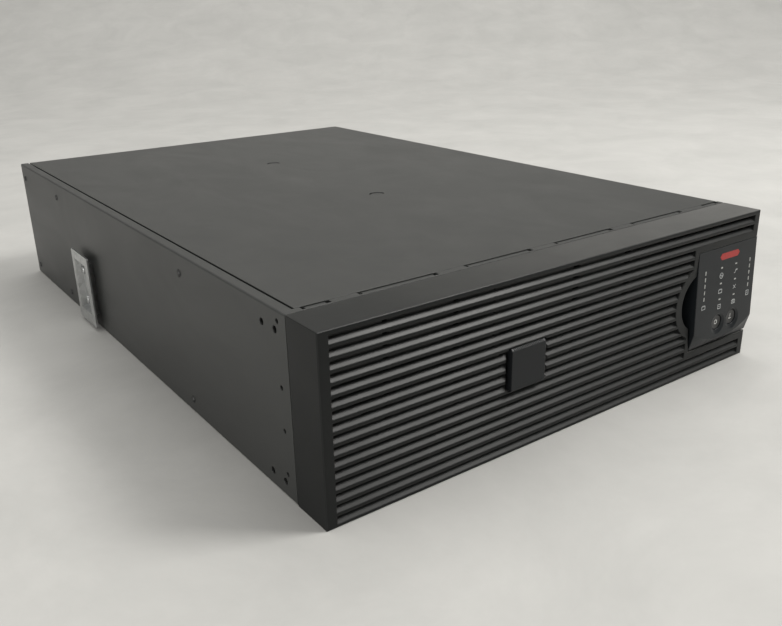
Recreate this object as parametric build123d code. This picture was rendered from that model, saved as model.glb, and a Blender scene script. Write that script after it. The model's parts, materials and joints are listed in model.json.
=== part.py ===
from build123d import *
import os
from math import sqrt

# A rack or tower uninterruptible power supply, three rack units high. Millimetres, +Z up, the front faces -Y.
# The origin is at the middle of the base. Every sub-part is written at its place in the whole object.

# ---- Driving dimensions: case --------------------------------------------------------------------------
WIDTH = 432.0
HEIGHT = 130.0
LENGTH = 660.0
SHEET = 1.5  # case steel
THIN = 1.2  # inner steel
SEAM_GAP = 0.8  # between the bezel and the case
SLIT = 0.1  # between sheets that lie side by side
BEND_R = 1.35  # outside of a bend
BEZEL_DEPTH = 35.5
SIDE_FLANGE = 8.0  # folded top edge of the left wall
GROOVE = 1.9  # between that flange and the cover
LEDGE_WIDTH = 14.0  # the shelf under the groove, which carries the cover
LEDGE_Z = 124.5
COVER_SEAM_Z = 125.0  # where the cover's right skirt meets the right wall
STEP_HEIGHT = 8.0  # the right wall's inward step behind that skirt
COVER_EDGE_DROP = 3.9  # the cover's turned-down left edge
COVER_SETBACK = 42.0  # the cover's front edge, from the front
FLANGE_GAP = 0.6  # between the cover's front edge and the front frame's flange
REAR_FLANGE_X = (-200.0, 200.0)  # the cover's flange with the rear screws
REAR_FLANGE_Z = 119.0
TAB_DEPTH = 3.6
TAB_DROP = 0.5
TAB_GAP = 1.0  # between a tab and the cover's front edge, where its web passes below
TAB_WIDTH = 57.0
TAB_CENTRES = (-130.5, -43.5, 43.5, 130.5)
END_TABS = ((-200.0, -185.5), (195.0, 209.5))
TAB_NOTCH = 3.0  # the open window beside each tab
DIMPLE_PLACES = ((7.5, 132.0), (7.5, -70.0))
DIMPLE_R = 7.5
DIMPLE_DEPTH = 0.5
DIMPLE_SLOT = 1.1
EAR_HOLE_R = 2.5
EAR_HOLE_SETBACKS = (49.6, 66.4)
EAR_HOLE_HEIGHTS = (11.0, 116.6)
LATCH_HOLE_R = 1.75
LATCH_HOLE_SETBACK = 46.0
LATCH_HOLE_HEIGHTS = (17.5, 49.0, 79.0, 123.0)
RIVET_SETBACKS = (197.0, 521.0, 649.0)
RIVET_HEIGHTS = (11.0, 114.5)
RIVET_R = 3.2
RIVET_PROUD = 1.2
VENT_SIZE = (56.0, 4.0)  # slots of the front frame behind the display
VENT_X = 176.0
VENT_HEIGHTS = (22.0, 32.0, 42.0, 88.0, 98.0, 108.0)

# ---- Driving dimensions: bezel -------------------------------------------------------------------------
BEZEL_WALL = 2.5
BEZEL_EDGE_R = 1.0
FACE_DEPTH = 4.2  # the slotted front wall
SLOTS = 16
SLOT_PITCH = 7.92
SLOT_OPEN = 5.5
FIRST_SLOT_TOP = 126.9
LOUVRE_RISE = 2.9  # how far a louvre slopes up and back above its front lip
LIP_THICK = 1.6
LIP_EDGE = 0.35
SLOT_LEFT = -208.6
LONG_SLOT_RIGHT = 208.8
SHORT_SLOT_RIGHT = 130.3
SCOOP_CENTRE = (145.0, 65.5)
SCOOP_R = 25.0
SCOOP_RIM_R = 32.3
SCOOP_TAIL = (131.8, 44.3)  # where the scoop's edge turns straight down
CUTOUT_X = 135.3
CUTOUT_Z = (22.1, 107.6)
RIB_PLACES = (-165.0, -110.0, 0.0, 55.0)
RIB_THICK = 2.0
RIB_DEPTH = 4.5
CARRIER_Z = (38.0, 92.0)
CARRIER_DEPTH = 2.0
CARRIER_BORDER = 3.0
BADGE_CENTRE = (-52.0, 64.75)
BADGE_WIDTH = 31.5
BADGE_HEIGHT = 31.0
BADGE_PROUD = 1.9
BADGE_THICK = 5.3
BADGE_GAP = 2.0  # beside the badge
BADGE_GAP_Z = 0.4  # above and below it
BADGE_SLANT = 1.6  # its slanted, ribbed top edge
BADGE_EDGE = 0.4
BADGE_RIBS = 19
BADGE_RIB_PITCH = 1.5
BADGE_RIB_GROOVE = 0.6
BADGE_STEM_R = 4.0
BADGE_STEM_LENGTH = 13.2
BADGE_BOSS_R = 8.0
BADGE_BOSS_DEPTH = 8.0
NOSE = 2.2  # the pointed louvre ends beside the badge
FIT = 0.05  # radial clearance of a running fit
EMBED = 0.5  # how far a rib or post runs into the wall it stands on

# ---- Driving dimensions: display module ----------------------------------------------------------------
MODULE_X = (135.9, 215.8)
MODULE_Z = (23.6, 107.2)
MODULE_BACK = -297.0
MODULE_WALL = 2.0
MODULE_SETBACK = 0.4
MODULE_FACE = 3.4  # how far behind the bezel's front the hollow begins
MODULE_POST_R = 2.5
MODULE_POST_INSET = 7.0
FACE_LOW_Z = 28.0  # the lowest point of the face's curved lower edge
FACE_SIDE_Z = 38.3  # where that edge meets the sides
FACE_PROUD = 4.0
BUTTON_CENTRES = {"power_off_button": 168.0, "power_on_button": 188.5}
BUTTON_Z = 41.9
BUTTON_R = 6.25
BUTTON_GAP = 0.35
BUTTON_SINK = 1.6
BUTTON_EDGE_R = 0.5
BUTTON_HOLLOW_R = 32.0
BUTTON_HOLLOW = 0.6
BUTTON_FLANGE = 1.6
BUTTON_FLANGE_Y = (3.8, 5.0)
BUTTON_STEM_R = 2.0
BUTTON_STEM_END = 10.4
DISH_R = 9.0
DISH_DEPTH = 2.2
LED_COLUMNS = (168.0, 188.0)
LED_ROWS = (89.3, 75.9, 62.4)
LED_SIZE = (2.4, 1.2)
BAR_COLUMNS = (146.0, 208.0)
BAR_TOP_Z = 88.8
BAR_PITCH = 5.5
BAR_TICKS = 5
BAR_SIZE = (1.1, 3.2)
LENS_PROUD = 0.12
LENS_END = 12.0
BOARD_THICK = 1.6
BOARD_MARGIN = 3.0
BOARD_SETBACK = 15.2
EMITTER_SIZE = (2.0, 1.0, 1.6)
SWITCH_SIZE = (6.0, 2.6, 6.0)
PLUNGER_R = 1.7
PLUNGER_REACH = 3.2
PLUG_X = (165.0, 190.0)
PLUG_Z = (60.0, 70.0)
PLUG_REACH = 8.0  # behind the front frame
SOCKET_WALL = 4.0
SOCKET_GAP = 0.4
SOCKET_DEPTH = 14.0
SOCKET_MOUTH = 10.0

# ---- Driving dimensions: battery drawers ---------------------------------------------------------------
DRAWER_WIDTH = 150.0
DRAWER_LEFT_EDGES = {"left": -206.0, "right": -48.0}
DRAWER_Z = (3.0, 118.0)
DRAWER_BACK = 84.0
DRAWER_LIP = 3.0  # how far the front plate overlaps the mouth on each side
DRAWER_PLATE_Z = (4.0, 126.0)
TRAY_WALL_Z = 32.0
TRAY_BACK_Z = 56.0
MOUTH_GAP = 1.0
MOUTH_Z = (2.5, 119.0)
PLATE_GAP = 0.1  # between the drawer's front plate and the front frame
BLOCK_WIDTH = 70.0
BLOCK_LENGTH = 90.0
BLOCK_HEIGHT = 101.0
BLOCK_GAP = 2.0
BLOCK_ROWS = 4
LID_HEIGHT = 7.0
LID_INSET = 1.0
WELL_SIZE = (11.0, 9.0, 6.0)
WELL_OFFSETS = (-24.0, 24.0)
WELL_SETBACK = 10.0
TERMINAL_TAB = (6.4, 0.8, 8.0)
HANDLE_SPAN = 84.0
HANDLE_BAR = 6.0
HANDLE_REACH = 22.0
HANDLE_BEND_R = 5.0
HANDLE_FOOT = (18.0, 2.0, 4.0)  # width, thickness, and overhang above and below the bar
HANDLE_Z = (56.0, 68.0)
THUMB_INSET = 12.0
THUMB_Z = 121.4
THUMB_HEAD_R = 4.3
THUMB_HEAD = 8.0
THUMB_STEM_R = 1.6
THUMB_HOLE_R = 1.8
THUMB_SIDES = 16
BAY_SIDE_X = 107.0
BAY_REAR_Y = 95.0
BAY_VENT_SIZE = (60.0, 6.0)
BAY_VENT_PLACES = ((-160.0, -90.0, -20.0, 50.0), (76.0, 90.0, 104.0))
LEAD_HOLE_SIZE = (30.0, 12.0)
LEAD_HOLE_Z = 100.0
LEAD_HOLE_SETBACK = 25.0
RUNNER_FOOT = 12.0
RUNNER_THICK = 1.2
FENCE_SETBACK = 3.0
FENCE_THICK = 2.0
FENCE_Z = 14.0
RECEPTACLE_SIZE = (44.0, 18.0)
RECEPTACLE_Z = 40.0
RECEPTACLE_WALL = 3.0
RECEPTACLE_FLANGE = 4.0
RECEPTACLE_REACH = (3.0, 30.0)  # in front of and behind the cross wall's front
RECEPTACLE_MOUTH = 14.0
PLUG_GAP = 0.5
PLUG_FLANGE = 4.0
PLUG_END = 12.0

# ---- Driving dimensions: electronics -------------------------------------------------------------------
POWER_BOARD_X = (-205.0, 98.0)
POWER_BOARD_Y = (104.0, 286.0)
SIDE_BOARD_X = (114.0, 208.0)
SIDE_BOARD_Y = (-272.0, 88.0)
BOARD_Z = 12.0
STANDOFF_R = 3.2
STANDOFF_INSET = 6.0
HEATSINK_LEFTS = (-203.0, -118.0)
HEATSINK_SIZE = (72.0, 62.0)
HEATSINK_Z = 26.0
HEATSINK_Y = (132.0, 284.0)
HEATSINK_FINS = 12
HEATSINK_BASE = 8.0
FIN_THICK = 1.8
TRANSISTOR_SIZE = (16.0, 21.0, 5.0)
TRANSISTOR_FIRST_Y = 140.0
TRANSISTOR_PITCH = 28.0
TRANSISTORS = 5
CAPACITOR_PLACES = ((-22.0, 18.0, 58.0), (152.0, 194.0, 236.0))
CAPACITOR_R = 17.5
CAPACITOR_HEIGHT = 50.0
CAPACITOR_EDGE_R = 1.5
INDUCTOR_PLACES = (-215.0, -150.0, 20.0)
INDUCTOR_R = 27.0
INDUCTOR_BORE_R = 13.0
INDUCTOR_X = (146.0, 172.0)
CORE_X = (135.0, 190.0)
CORE_Y = (-95.0, -45.0)
CORE_HEIGHT = 46.0
CORE_ARM = 10.0
CORE_YOKE = 8.0
CONTROL_Y = (-270.0, -80.0)
CONTROL_Z = (50.0, 118.0)
CONTROL_STAND_OFF = 6.0
CONTROL_INSET = 6.0
SPACER_R = 2.5
RIBBON_THICK = 0.9
RIBBON_Z = (61.0, 69.0)
RIBBON_LOOP = 22.0  # how far it runs behind the front frame
RIBBON_SOCKET_X = 177.0
FILTER_X = (122.0, 196.0)
FILTER_Y = (150.0, 250.0)
FILTER_TOP = 44.0
FILTER_EDGE_R = 3.0

# ---- Driving dimensions: rear --------------------------------------------------------------------------
PANEL_RECESS = 6.0
PANEL_TOP = 124.3
PANEL_FLANGE = 14.0
PANEL_FLANGE_Z = (4.0, 116.8)
FAN_SIZE = 80.0
FAN_DEPTH = 25.0
FAN_CORNER_R = 4.0
FAN_BORE_R = 38.0
FAN_TIP_R = 36.6
FAN_HUB_R = 16.0
FAN_HUB_Y = (4.8, 22.0)
FAN_HUB_EDGE_R = 1.5
FAN_SCREW_PITCH = 71.5
FAN_SCREW_HOLE_R = 2.1
FAN_CENTRES = {"left": (-164.0, 65.0), "right": (-80.0, 65.0)}
FAN_BLADES = 7
FAN_BLADE = (1.6, 19.0)  # thickness and chord
FAN_BLADE_PITCH = 40.0
FAN_BLADE_MIDDLE = 13.5
FAN_BLADE_ROOT = 1.5
FAN_ARM = 4.0
FAN_ARMS = 3
FAN_POST_R = 3.0
FAN_POST_LENGTH = 16.0
GUARD_RINGS = (9.0, 16.0, 23.0, 30.0, 37.0)
GUARD_WIRE = 1.6
GUARD_SPOKE = 2.2
GUARD_EAR_R = 3.6
GUARD_HOLE_R = 1.9
GUARD_THICK = 1.4
OUTLET_CENTRES = ((0.0, 95.0), (50.0, 95.0), (0.0, 49.0), (50.0, 49.0))
OUTLET_R = 17.5
OUTLET_GAP = 0.3
OUTLET_BODY_DEPTH = 24.0
OUTLET_FLANGE_R = 21.0
OUTLET_FLANGE = 3.5
OUTLET_EDGE = 0.8
BLADE_ANGLES = (90.0, 215.0, 325.0)
BLADE_SPAN = 34.0
BLADE_RING = (9.3, 11.7)
BLADE_KEY = (2.4, 4.4)
BLADE_DEPTH = 14.0
BREAKER_CENTRES = {"upper": (88.0, 95.0), "lower": (88.0, 49.0)}
BREAKER_SIZE = (22.0, 32.0)
BREAKER_FLANGE = 2.5
BREAKER_BORDER = (2.0, 2.5)
BREAKER_GAP = 0.5
BREAKER_DEPTH = 28.0
ROCKER_R = 10.7
ROCKER_GAP = (0.4, 0.5)  # beside and below
ROCKER_WIDTH = 11.0
ROCKER_TILT = 10.0
ROCKER_PROUD = (2.0, 3.2)  # at the middle and at the ends
ROCKER_PIN_R = 1.5
ROCKER_PIN = 1.6
TERMINAL_X = (110.0, 208.0)
TERMINAL_Z = (10.0, 76.0)
TERMINAL_BORDER = 8.0
PLATE = 1.2  # cover plates on the rear panel
KNOCKOUT_PLACES = ((136.0, 43.0), (182.0, 43.0))
KNOCKOUT_R = 14.0
KNOCKOUT_GROOVE = 0.8
STRIP_X = (122.0, 196.0)
STRIP_Y = (32.0, 8.0)  # its back and front, inside the rear panel
STRIP_Z = (24.0, 52.0)
STRIP_WAYS = 5
STRIP_BARRIER = 2.0
STRIP_BARRIER_PROUD = 4.0
STRIP_BRACKET = 2.0
CARD_X = (143.0, 209.0)
CARD_Z = (83.0, 117.0)
CARD_BORDER = (8.0, 3.0)
SERIAL_CENTRE = (126.0, 106.0)
SERIAL_CUT = (20.0, 10.5)
SERIAL_FLANGE = (31.0, 12.5, 0.8)
SERIAL_SHELL = (9.0, 7.6, 4.2)  # half widths at the top and bottom, half height
SERIAL_PROUD = 6.0
SERIAL_BACK = 8.0
SERIAL_PIN_R = 0.55
SERIAL_PIN_PITCH = 2.75
SERIAL_ROW_Z = 1.4
REMOTE_CENTRE = (126.0, 90.0)
REMOTE_SIZE = (12.0, 9.0)
REMOTE_PROUD = 7.0
REMOTE_BACK = 10.0
REMOTE_SCREW_R = 1.6
REMOTE_SCREW_OFFSETS = (-3.0, 3.0)
REMOTE_SCREW_RISE = 1.2
REMOTE_SCREW_DEPTH = 1.5
PORT_GAP = 0.2
BATTERY_PORT_CENTRE = (25.0, 14.0)
BATTERY_PORT_SIZE = (50.0, 15.0)
CAP_BORDER = (2.5, 2.0)
CAP_Y = (1.0, 4.0)
CAP_EDGE_R = 0.8
CAP_RIB = (24.0, 2.0, 8.0)
GROUND_PLACE = (88.0, 16.0)
STUD_R = 2.5
STUD_PROUD = 4.0  # behind the case's rear edge
WASHER_R = 5.5
NUT_R = 4.6
NUT_Y = (1.0, 5.0)
SCREW_HEAD = (3.2, 2.2)
SCREW_CROSS = 0.8
HEAD_ROUNDING = 0.45
FLANGE_SCREWS_X = (-190.0, -65.0, 60.0, 190.0)
FLANGE_SCREWS_Z = 124.0
SCREW_INSET = 5.0
CARD_SCREW_INSET = 4.0

# ---- Driving dimensions: rail brackets -----------------------------------------------------------------
BRACKET_Y = (85.5, 136.0)
BRACKET_Z = (3.5, 74.5)
BRACKET_STAND_OFF = 7.5
BRACKET_STEEL = 1.6
BRACKET_CORNER = 1.5
CHANNEL_Y = (94.0, 130.0)
CHANNEL_Z = (13.0, 67.0)
CHANNEL_SLOPE = 1.5
BRACKET_SCREWS = ((119.0, 23.5), (119.0, 54.5))
BRACKET_SCREW_HEAD = (4.2, 2.6)

# ---- Worked out ----------------------------------------------------------------------------------------
LEFT = -WIDTH / 2
RIGHT = WIDTH / 2
FRONT = -LENGTH / 2
REAR = LENGTH / 2
SEAM_Y = FRONT + BEZEL_DEPTH
BEZEL_BACK = SEAM_Y - SEAM_GAP
COVER_FRONT = FRONT + COVER_SETBACK
COVER_LEFT = LEFT + SIDE_FLANGE + GROOVE
DISPLAY_BOARD_Y = FRONT + BOARD_SETBACK
PANEL_OUT = REAR - PANEL_RECESS
PANEL_IN = PANEL_OUT - SHEET
FRAME_BACK = SEAM_Y + SHEET
FLANGE_BACK = COVER_FRONT - FLANGE_GAP
PLATE_BACK = SEAM_Y - PLATE_GAP
PLATE_FRONT = PLATE_BACK - THIN
BOARD_TOP = BOARD_Z + BOARD_THICK
BATTERY_BASE = DRAWER_Z[0] + THIN
FACE_BACK = FRONT + FACE_DEPTH
LONG_ROWS = (1, 2, SLOTS - 1, SLOTS)
LONG_LOUVRES = (1, SLOTS - 1)
SHORT_ROWS = range(3, SLOTS - 1)
SHORT_LOUVRES = range(2, SLOTS - 1)
CONTROL_X = BAY_SIDE_X + THIN + CONTROL_STAND_OFF
FAN_BACK = PANEL_IN - FAN_DEPTH
CLEAR = 1.0  # how far a cutting solid reaches past the surface it opens


def block(x, y, z):
    """A rectangular solid between two limits along each axis."""
    size = [b - a for a, b in (x, y, z)]
    middle = [(a + b) / 2 for a, b in (x, y, z)]
    return Pos(*middle) * Box(*size)


def along_x(sketch, x):
    """A sketch of Y and Z, run between two X limits."""
    return extrude(Plane.YZ.offset(x[0]) * sketch, x[1] - x[0], dir=(1, 0, 0))


def along_y(sketch, y):
    """A sketch of X and Z, run between two Y limits."""
    return extrude(Plane.XZ.offset(-y[0]) * sketch, y[1] - y[0], dir=(0, 1, 0))


def along_z(sketch, z):
    """A sketch of X and Y, run between two Z limits."""
    return extrude(Pos(0, 0, z[0]) * sketch, z[1] - z[0], dir=(0, 0, 1))


def wider(limits, margin):
    """Two limits, moved apart by a margin at each end."""
    return limits[0] - margin, limits[1] + margin


def discs(places, radius):
    """Equal circles, as one sketch."""
    return Sketch() + [Pos(*place) * Circle(radius) for place in places]


def plate(x, z):
    """A rectangle of X and Z, given by its limits."""
    return Pos((x[0] + x[1]) / 2, (z[0] + z[1]) / 2) * Rectangle(x[1] - x[0], z[1] - z[0])


def around(centre, width, height):
    """The X and Z limits of a rectangle about a centre."""
    x, z = centre
    return (x - width / 2, x + width / 2), (z - height / 2, z + height / 2)


def grid(xs, ys):
    """Every pair of the two lists."""
    return [(x, y) for x in xs for y in ys]


def group(shapes):
    """Separate solids that make one sub-part."""
    return Compound(children=[solid for shape in shapes for solid in shape.solids()])


def mirrored(shape):
    """The same shape on the other side of the middle plane."""
    return mirror(shape, about=Plane.YZ)


# ---- Case ----------------------------------------------------------------------------------------------
def side_holes(sign):
    """Rack-ear holes and latch holes of one side wall, as cutting rods."""
    x = wider((sign * WIDTH / 2, sign * WIDTH / 2), 2 * SHEET)
    ear = grid([FRONT + s for s in EAR_HOLE_SETBACKS], EAR_HOLE_HEIGHTS)
    latch = grid([FRONT + LATCH_HOLE_SETBACK], LATCH_HOLE_HEIGHTS)
    return along_x(discs(ear, EAR_HOLE_R), x) + along_x(discs(latch, LATCH_HOLE_R), x)


def chassis_pan():
    """Floor and both side walls, bent from one sheet, with a folded left edge and a stepped right edge."""
    depth = (SEAM_Y, REAR)
    fold_x = (LEFT + SIDE_FLANGE - SHEET, LEFT + SIDE_FLANGE)
    inner_depth = (FLANGE_BACK + SLIT, PANEL_IN - SLIT)
    pan = block((LEFT, RIGHT), depth, (0, SHEET))
    pan += block((LEFT, LEFT + SHEET), depth, (0, HEIGHT))
    pan += block((LEFT, LEFT + SIDE_FLANGE), (FLANGE_BACK + SLIT, REAR), (HEIGHT - SHEET, HEIGHT))
    pan += block(fold_x, inner_depth, (LEDGE_Z, HEIGHT))
    pan += block((fold_x[0], fold_x[0] + LEDGE_WIDTH), inner_depth, (LEDGE_Z, LEDGE_Z + SHEET))
    pan += block((RIGHT - SHEET, RIGHT), depth, (0, COVER_SEAM_Z - 2 * SLIT))
    step_z = (COVER_SEAM_Z - STEP_HEIGHT, HEIGHT - SHEET - 2 * SLIT)
    pan += block((RIGHT - 2 * SHEET, RIGHT - SHEET), depth, step_z)
    outer = [e for e in pan.edges().filter_by(Axis.Y) if abs(abs(e.center().X) - RIGHT) < SLIT]
    bends = [e for e in outer if e.center().Z < SLIT or e.center().Z > HEIGHT - SLIT]
    pan = fillet(bends, BEND_R)
    return pan - side_holes(-1) - side_holes(1)


def dimple_cut(place):
    """A half-punched round: a shallow well and a slot round its back half."""
    x, y = place
    top = HEIGHT + CLEAR
    ring = Circle(DIMPLE_R) - Circle(DIMPLE_R - DIMPLE_SLOT)
    back_half = Pos(0, DIMPLE_R - 2 * DIMPLE_DEPTH) * Rectangle(3 * DIMPLE_R, 2 * DIMPLE_R)
    well = along_z(Pos(x, y) * Circle(DIMPLE_R - DIMPLE_SLOT), (HEIGHT - DIMPLE_DEPTH, top))
    slot = along_z(Pos(x, y) * (ring & back_half), (HEIGHT - 2 * SHEET, top))
    return well + slot


def tab_windows():
    """The X limits of every tab along the cover's front edge, each with its wider window."""
    tabs = [(x - TAB_WIDTH / 2, x + TAB_WIDTH / 2) for x in TAB_CENTRES] + list(END_TABS)
    return [(tab, wider(tab, TAB_NOTCH)) for tab in tabs]


def top_cover():
    """Flat cover with a right skirt, a left turned-down edge, front tabs and a rear screw flange."""
    depth = (COVER_FRONT, REAR)
    cover = block((COVER_LEFT, RIGHT), depth, (HEIGHT - SHEET, HEIGHT))
    cover += block((RIGHT - SHEET, RIGHT), depth, (COVER_SEAM_Z, HEIGHT))
    cover += block((COVER_LEFT, COVER_LEFT + SHEET), depth, (HEIGHT - COVER_EDGE_DROP, HEIGHT))
    edges = cover.edges().filter_by(Axis.Y)
    bend = [e for e in edges if e.center().X > RIGHT - SLIT and e.center().Z > HEIGHT - SLIT]
    cover = fillet(bend, BEND_R)
    tab_z = (HEIGHT - SHEET - TAB_DROP, HEIGHT - TAB_DROP)
    web_z = (HEIGHT - 2 * SHEET, HEIGHT - SHEET)
    for span, _ in tab_windows():
        cover += block(span, (COVER_FRONT - TAB_DEPTH, COVER_FRONT - TAB_GAP), tab_z)
        cover += block(span, (COVER_FRONT - TAB_DEPTH, COVER_FRONT + 2 * SHEET), web_z)
    flange_y = (PANEL_OUT + FIT, PANEL_OUT + FIT + SHEET)
    cover += block(REAR_FLANGE_X, flange_y, (REAR_FLANGE_Z, HEIGHT - SHEET / 2))
    for place in DIMPLE_PLACES:
        cover -= dimple_cut(place)
    return cover


def front_frame():
    """Upright sheet behind the bezel, with the drawer mouths, and the flange in front of the cover."""
    depth = (SEAM_Y, FRAME_BACK)
    cut = wider(depth, CLEAR)
    inner_right = RIGHT - 2 * SHEET - SLIT
    frame = block((LEFT + SHEET, RIGHT - SHEET), depth, (SHEET, HEIGHT - SHEET))
    frame -= block((inner_right, RIGHT), cut, (COVER_SEAM_Z - STEP_HEIGHT - 2 * SLIT, HEIGHT))
    frame += block((LEFT + SHEET, RIGHT), (SEAM_Y, FLANGE_BACK), (HEIGHT - SHEET, HEIGHT))
    for _, (low, high) in tab_windows():
        window = (COVER_FRONT - TAB_DEPTH - 2 * FLANGE_GAP, COVER_FRONT)
        frame -= block((low, high), window, (HEIGHT - 3 * SHEET, HEIGHT + CLEAR))
    openings = discs(thumbscrew_places("left") + thumbscrew_places("right"), THUMB_HOLE_R + 2 * SLIT)
    openings += plate(wider(PLUG_X, MOUTH_GAP), wider(PLUG_Z, MOUTH_GAP))
    openings += [Pos(VENT_X, z) * SlotOverall(*VENT_SIZE) for z in VENT_HEIGHTS]
    for x in DRAWER_LEFT_EDGES.values():
        openings += plate(wider((x, x + DRAWER_WIDTH), MOUTH_GAP), MOUTH_Z)
    return frame - along_y(openings, cut)


def rear_cutouts():
    """Every opening of the rear panel, as one sketch of X and Z."""
    cut = discs(FAN_CENTRES.values(), FAN_BORE_R)
    cut += discs(OUTLET_CENTRES, OUTLET_R + OUTLET_GAP)
    for centre in BREAKER_CENTRES.values():
        cut += breaker_outline(centre, BREAKER_GAP)
    cut += plate(wider(TERMINAL_X, -TERMINAL_BORDER), wider(TERMINAL_Z, -TERMINAL_BORDER))
    cut += plate(wider(CARD_X, -CARD_BORDER[0]), wider(CARD_Z, -CARD_BORDER[1]))
    cut += plate(*around(SERIAL_CENTRE, *SERIAL_CUT))
    cut += plate(*around(REMOTE_CENTRE, REMOTE_SIZE[0] + 2 * PORT_GAP, REMOTE_SIZE[1] + 2 * PORT_GAP))
    cut += plate(*around(BATTERY_PORT_CENTRE, *BATTERY_PORT_SIZE))
    return cut


def rear_panel():
    """Recessed rear sheet with side flanges, cut out for fans, outlets, breakers and ports."""
    panel = block((LEFT + SHEET, RIGHT - SHEET), (PANEL_IN, PANEL_OUT), (SHEET, PANEL_TOP))
    for x in ((LEFT + SHEET, LEFT + 2 * SHEET), (RIGHT - 2 * SHEET, RIGHT - SHEET)):
        panel += block(x, (PANEL_IN - PANEL_FLANGE, PANEL_OUT), PANEL_FLANGE_Z)
    cut = wider((PANEL_IN, PANEL_OUT), CLEAR)
    step_z = (COVER_SEAM_Z - STEP_HEIGHT - 2 * SLIT, HEIGHT)
    panel -= block((RIGHT - 2 * SHEET - SLIT, RIGHT), cut, step_z)
    return panel - along_y(rear_cutouts(), cut)


def side_rivets():
    """Low domed rivet heads on both side walls."""
    cone = Cone(RIVET_R - RIVET_PROUD, RIVET_R, RIVET_PROUD)
    head = Pos(LEFT - RIVET_PROUD / 2, 0, 0) * Rot(0, 90, 0) * cone
    places = grid([FRONT + s for s in RIVET_SETBACKS], RIVET_HEIGHTS)
    left = [Pos(0, y, z) * head for y, z in places]
    return group(left + [mirrored(rivet) for rivet in left])


# ---- Battery bay ---------------------------------------------------------------------------------------
def bay_side_wall():
    """Upright wall between the battery bay and the electronics."""
    wall_x = (BAY_SIDE_X, BAY_SIDE_X + THIN)
    wall = block(wall_x, (FRAME_BACK, BAY_REAR_Y), (SHEET, LEDGE_Z + SHEET))
    lead_hole = Pos(BAY_REAR_Y - LEAD_HOLE_SETBACK, LEAD_HOLE_Z) * SlotOverall(*LEAD_HOLE_SIZE)
    return wall - along_x(lead_hole, wider(wall_x, CLEAR))


def receptacle_sketch(side, margin):
    """The outline of a battery connector, with a margin all round."""
    x = DRAWER_LEFT_EDGES[side] + DRAWER_WIDTH / 2
    width, height = RECEPTACLE_SIZE
    return plate(*around((x, RECEPTACLE_Z), width + 2 * margin, height + 2 * margin))


def bay_rear_wall():
    """Cross wall behind the drawers, with air slots and the two connector windows."""
    wall_y = (BAY_REAR_Y, BAY_REAR_Y + THIN)
    wall = block((LEFT + SHEET, BAY_SIDE_X + THIN), wall_y, (SHEET, LEDGE_Z - SHEET))
    vents = Sketch() + [Pos(x, z) * Rectangle(*BAY_VENT_SIZE) for x, z in grid(*BAY_VENT_PLACES)]
    windows = receptacle_sketch("left", PLUG_GAP) + receptacle_sketch("right", PLUG_GAP)
    return wall - along_y(vents + windows, wider(wall_y, CLEAR))


def drawer_guides():
    """Low plastic runners that the drawers slide on and between."""
    runner_y = (FRAME_BACK + CLEAR, BAY_REAR_Y - 2 * CLEAR)
    runners = []
    for x in DRAWER_LEFT_EDGES.values():
        for edge, outward in ((x, -1), (x + DRAWER_WIDTH, 1)):
            foot = sorted((edge - outward * RUNNER_FOOT, edge + outward * FENCE_SETBACK))
            fence = sorted((edge + outward * (FENCE_SETBACK - FENCE_THICK), edge + outward * FENCE_SETBACK))
            strip = block(foot, runner_y, (SHEET, SHEET + RUNNER_THICK))
            runners.append(strip + block(fence, runner_y, (SHEET, FENCE_Z)))
    return group(runners)


def battery_receptacles():
    """Sockets on the cross wall that the drawers' plugs push into."""
    forward, back = RECEPTACLE_REACH
    sockets = []
    for side in DRAWER_LEFT_EDGES:
        body = along_y(receptacle_sketch(side, 0), (BAY_REAR_Y - forward, BAY_REAR_Y + back))
        flange_y = (BAY_REAR_Y + THIN, BAY_REAR_Y + THIN + RECEPTACLE_WALL)
        flange = along_y(receptacle_sketch(side, RECEPTACLE_FLANGE), flange_y)
        mouth_y = (BAY_REAR_Y - forward - CLEAR, BAY_REAR_Y + RECEPTACLE_MOUTH)
        sockets.append(body + flange - along_y(receptacle_sketch(side, -RECEPTACLE_WALL), mouth_y))
    return group(sockets)


# ---- Battery drawers -----------------------------------------------------------------------------------
def thumbscrew_places(side):
    x0 = DRAWER_LEFT_EDGES[side]
    return grid((x0 + THUMB_INSET, x0 + DRAWER_WIDTH - THUMB_INSET), (THUMB_Z,))


def drawer_tray(side):
    """Folded tray with a front plate that covers the mouth."""
    x0 = DRAWER_LEFT_EDGES[side]
    x1 = x0 + DRAWER_WIDTH
    low = DRAWER_Z[0]
    depth = (PLATE_FRONT, DRAWER_BACK)
    tray = block((x0, x1), depth, (low, low + THIN))
    for wall in ((x0, x0 + THIN), (x1 - THIN, x1)):
        tray += block(wall, depth, (low, TRAY_WALL_Z))
    tray += block((x0, x1), (DRAWER_BACK - THIN, DRAWER_BACK), (low, TRAY_BACK_Z))
    tray += along_y(plate(wider((x0, x1), DRAWER_LIP), DRAWER_PLATE_Z), (PLATE_FRONT, PLATE_BACK))
    holes = discs(thumbscrew_places(side), THUMB_HOLE_R)
    return tray - along_y(holes, wider((PLATE_FRONT, PLATE_BACK), CLEAR))


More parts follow.
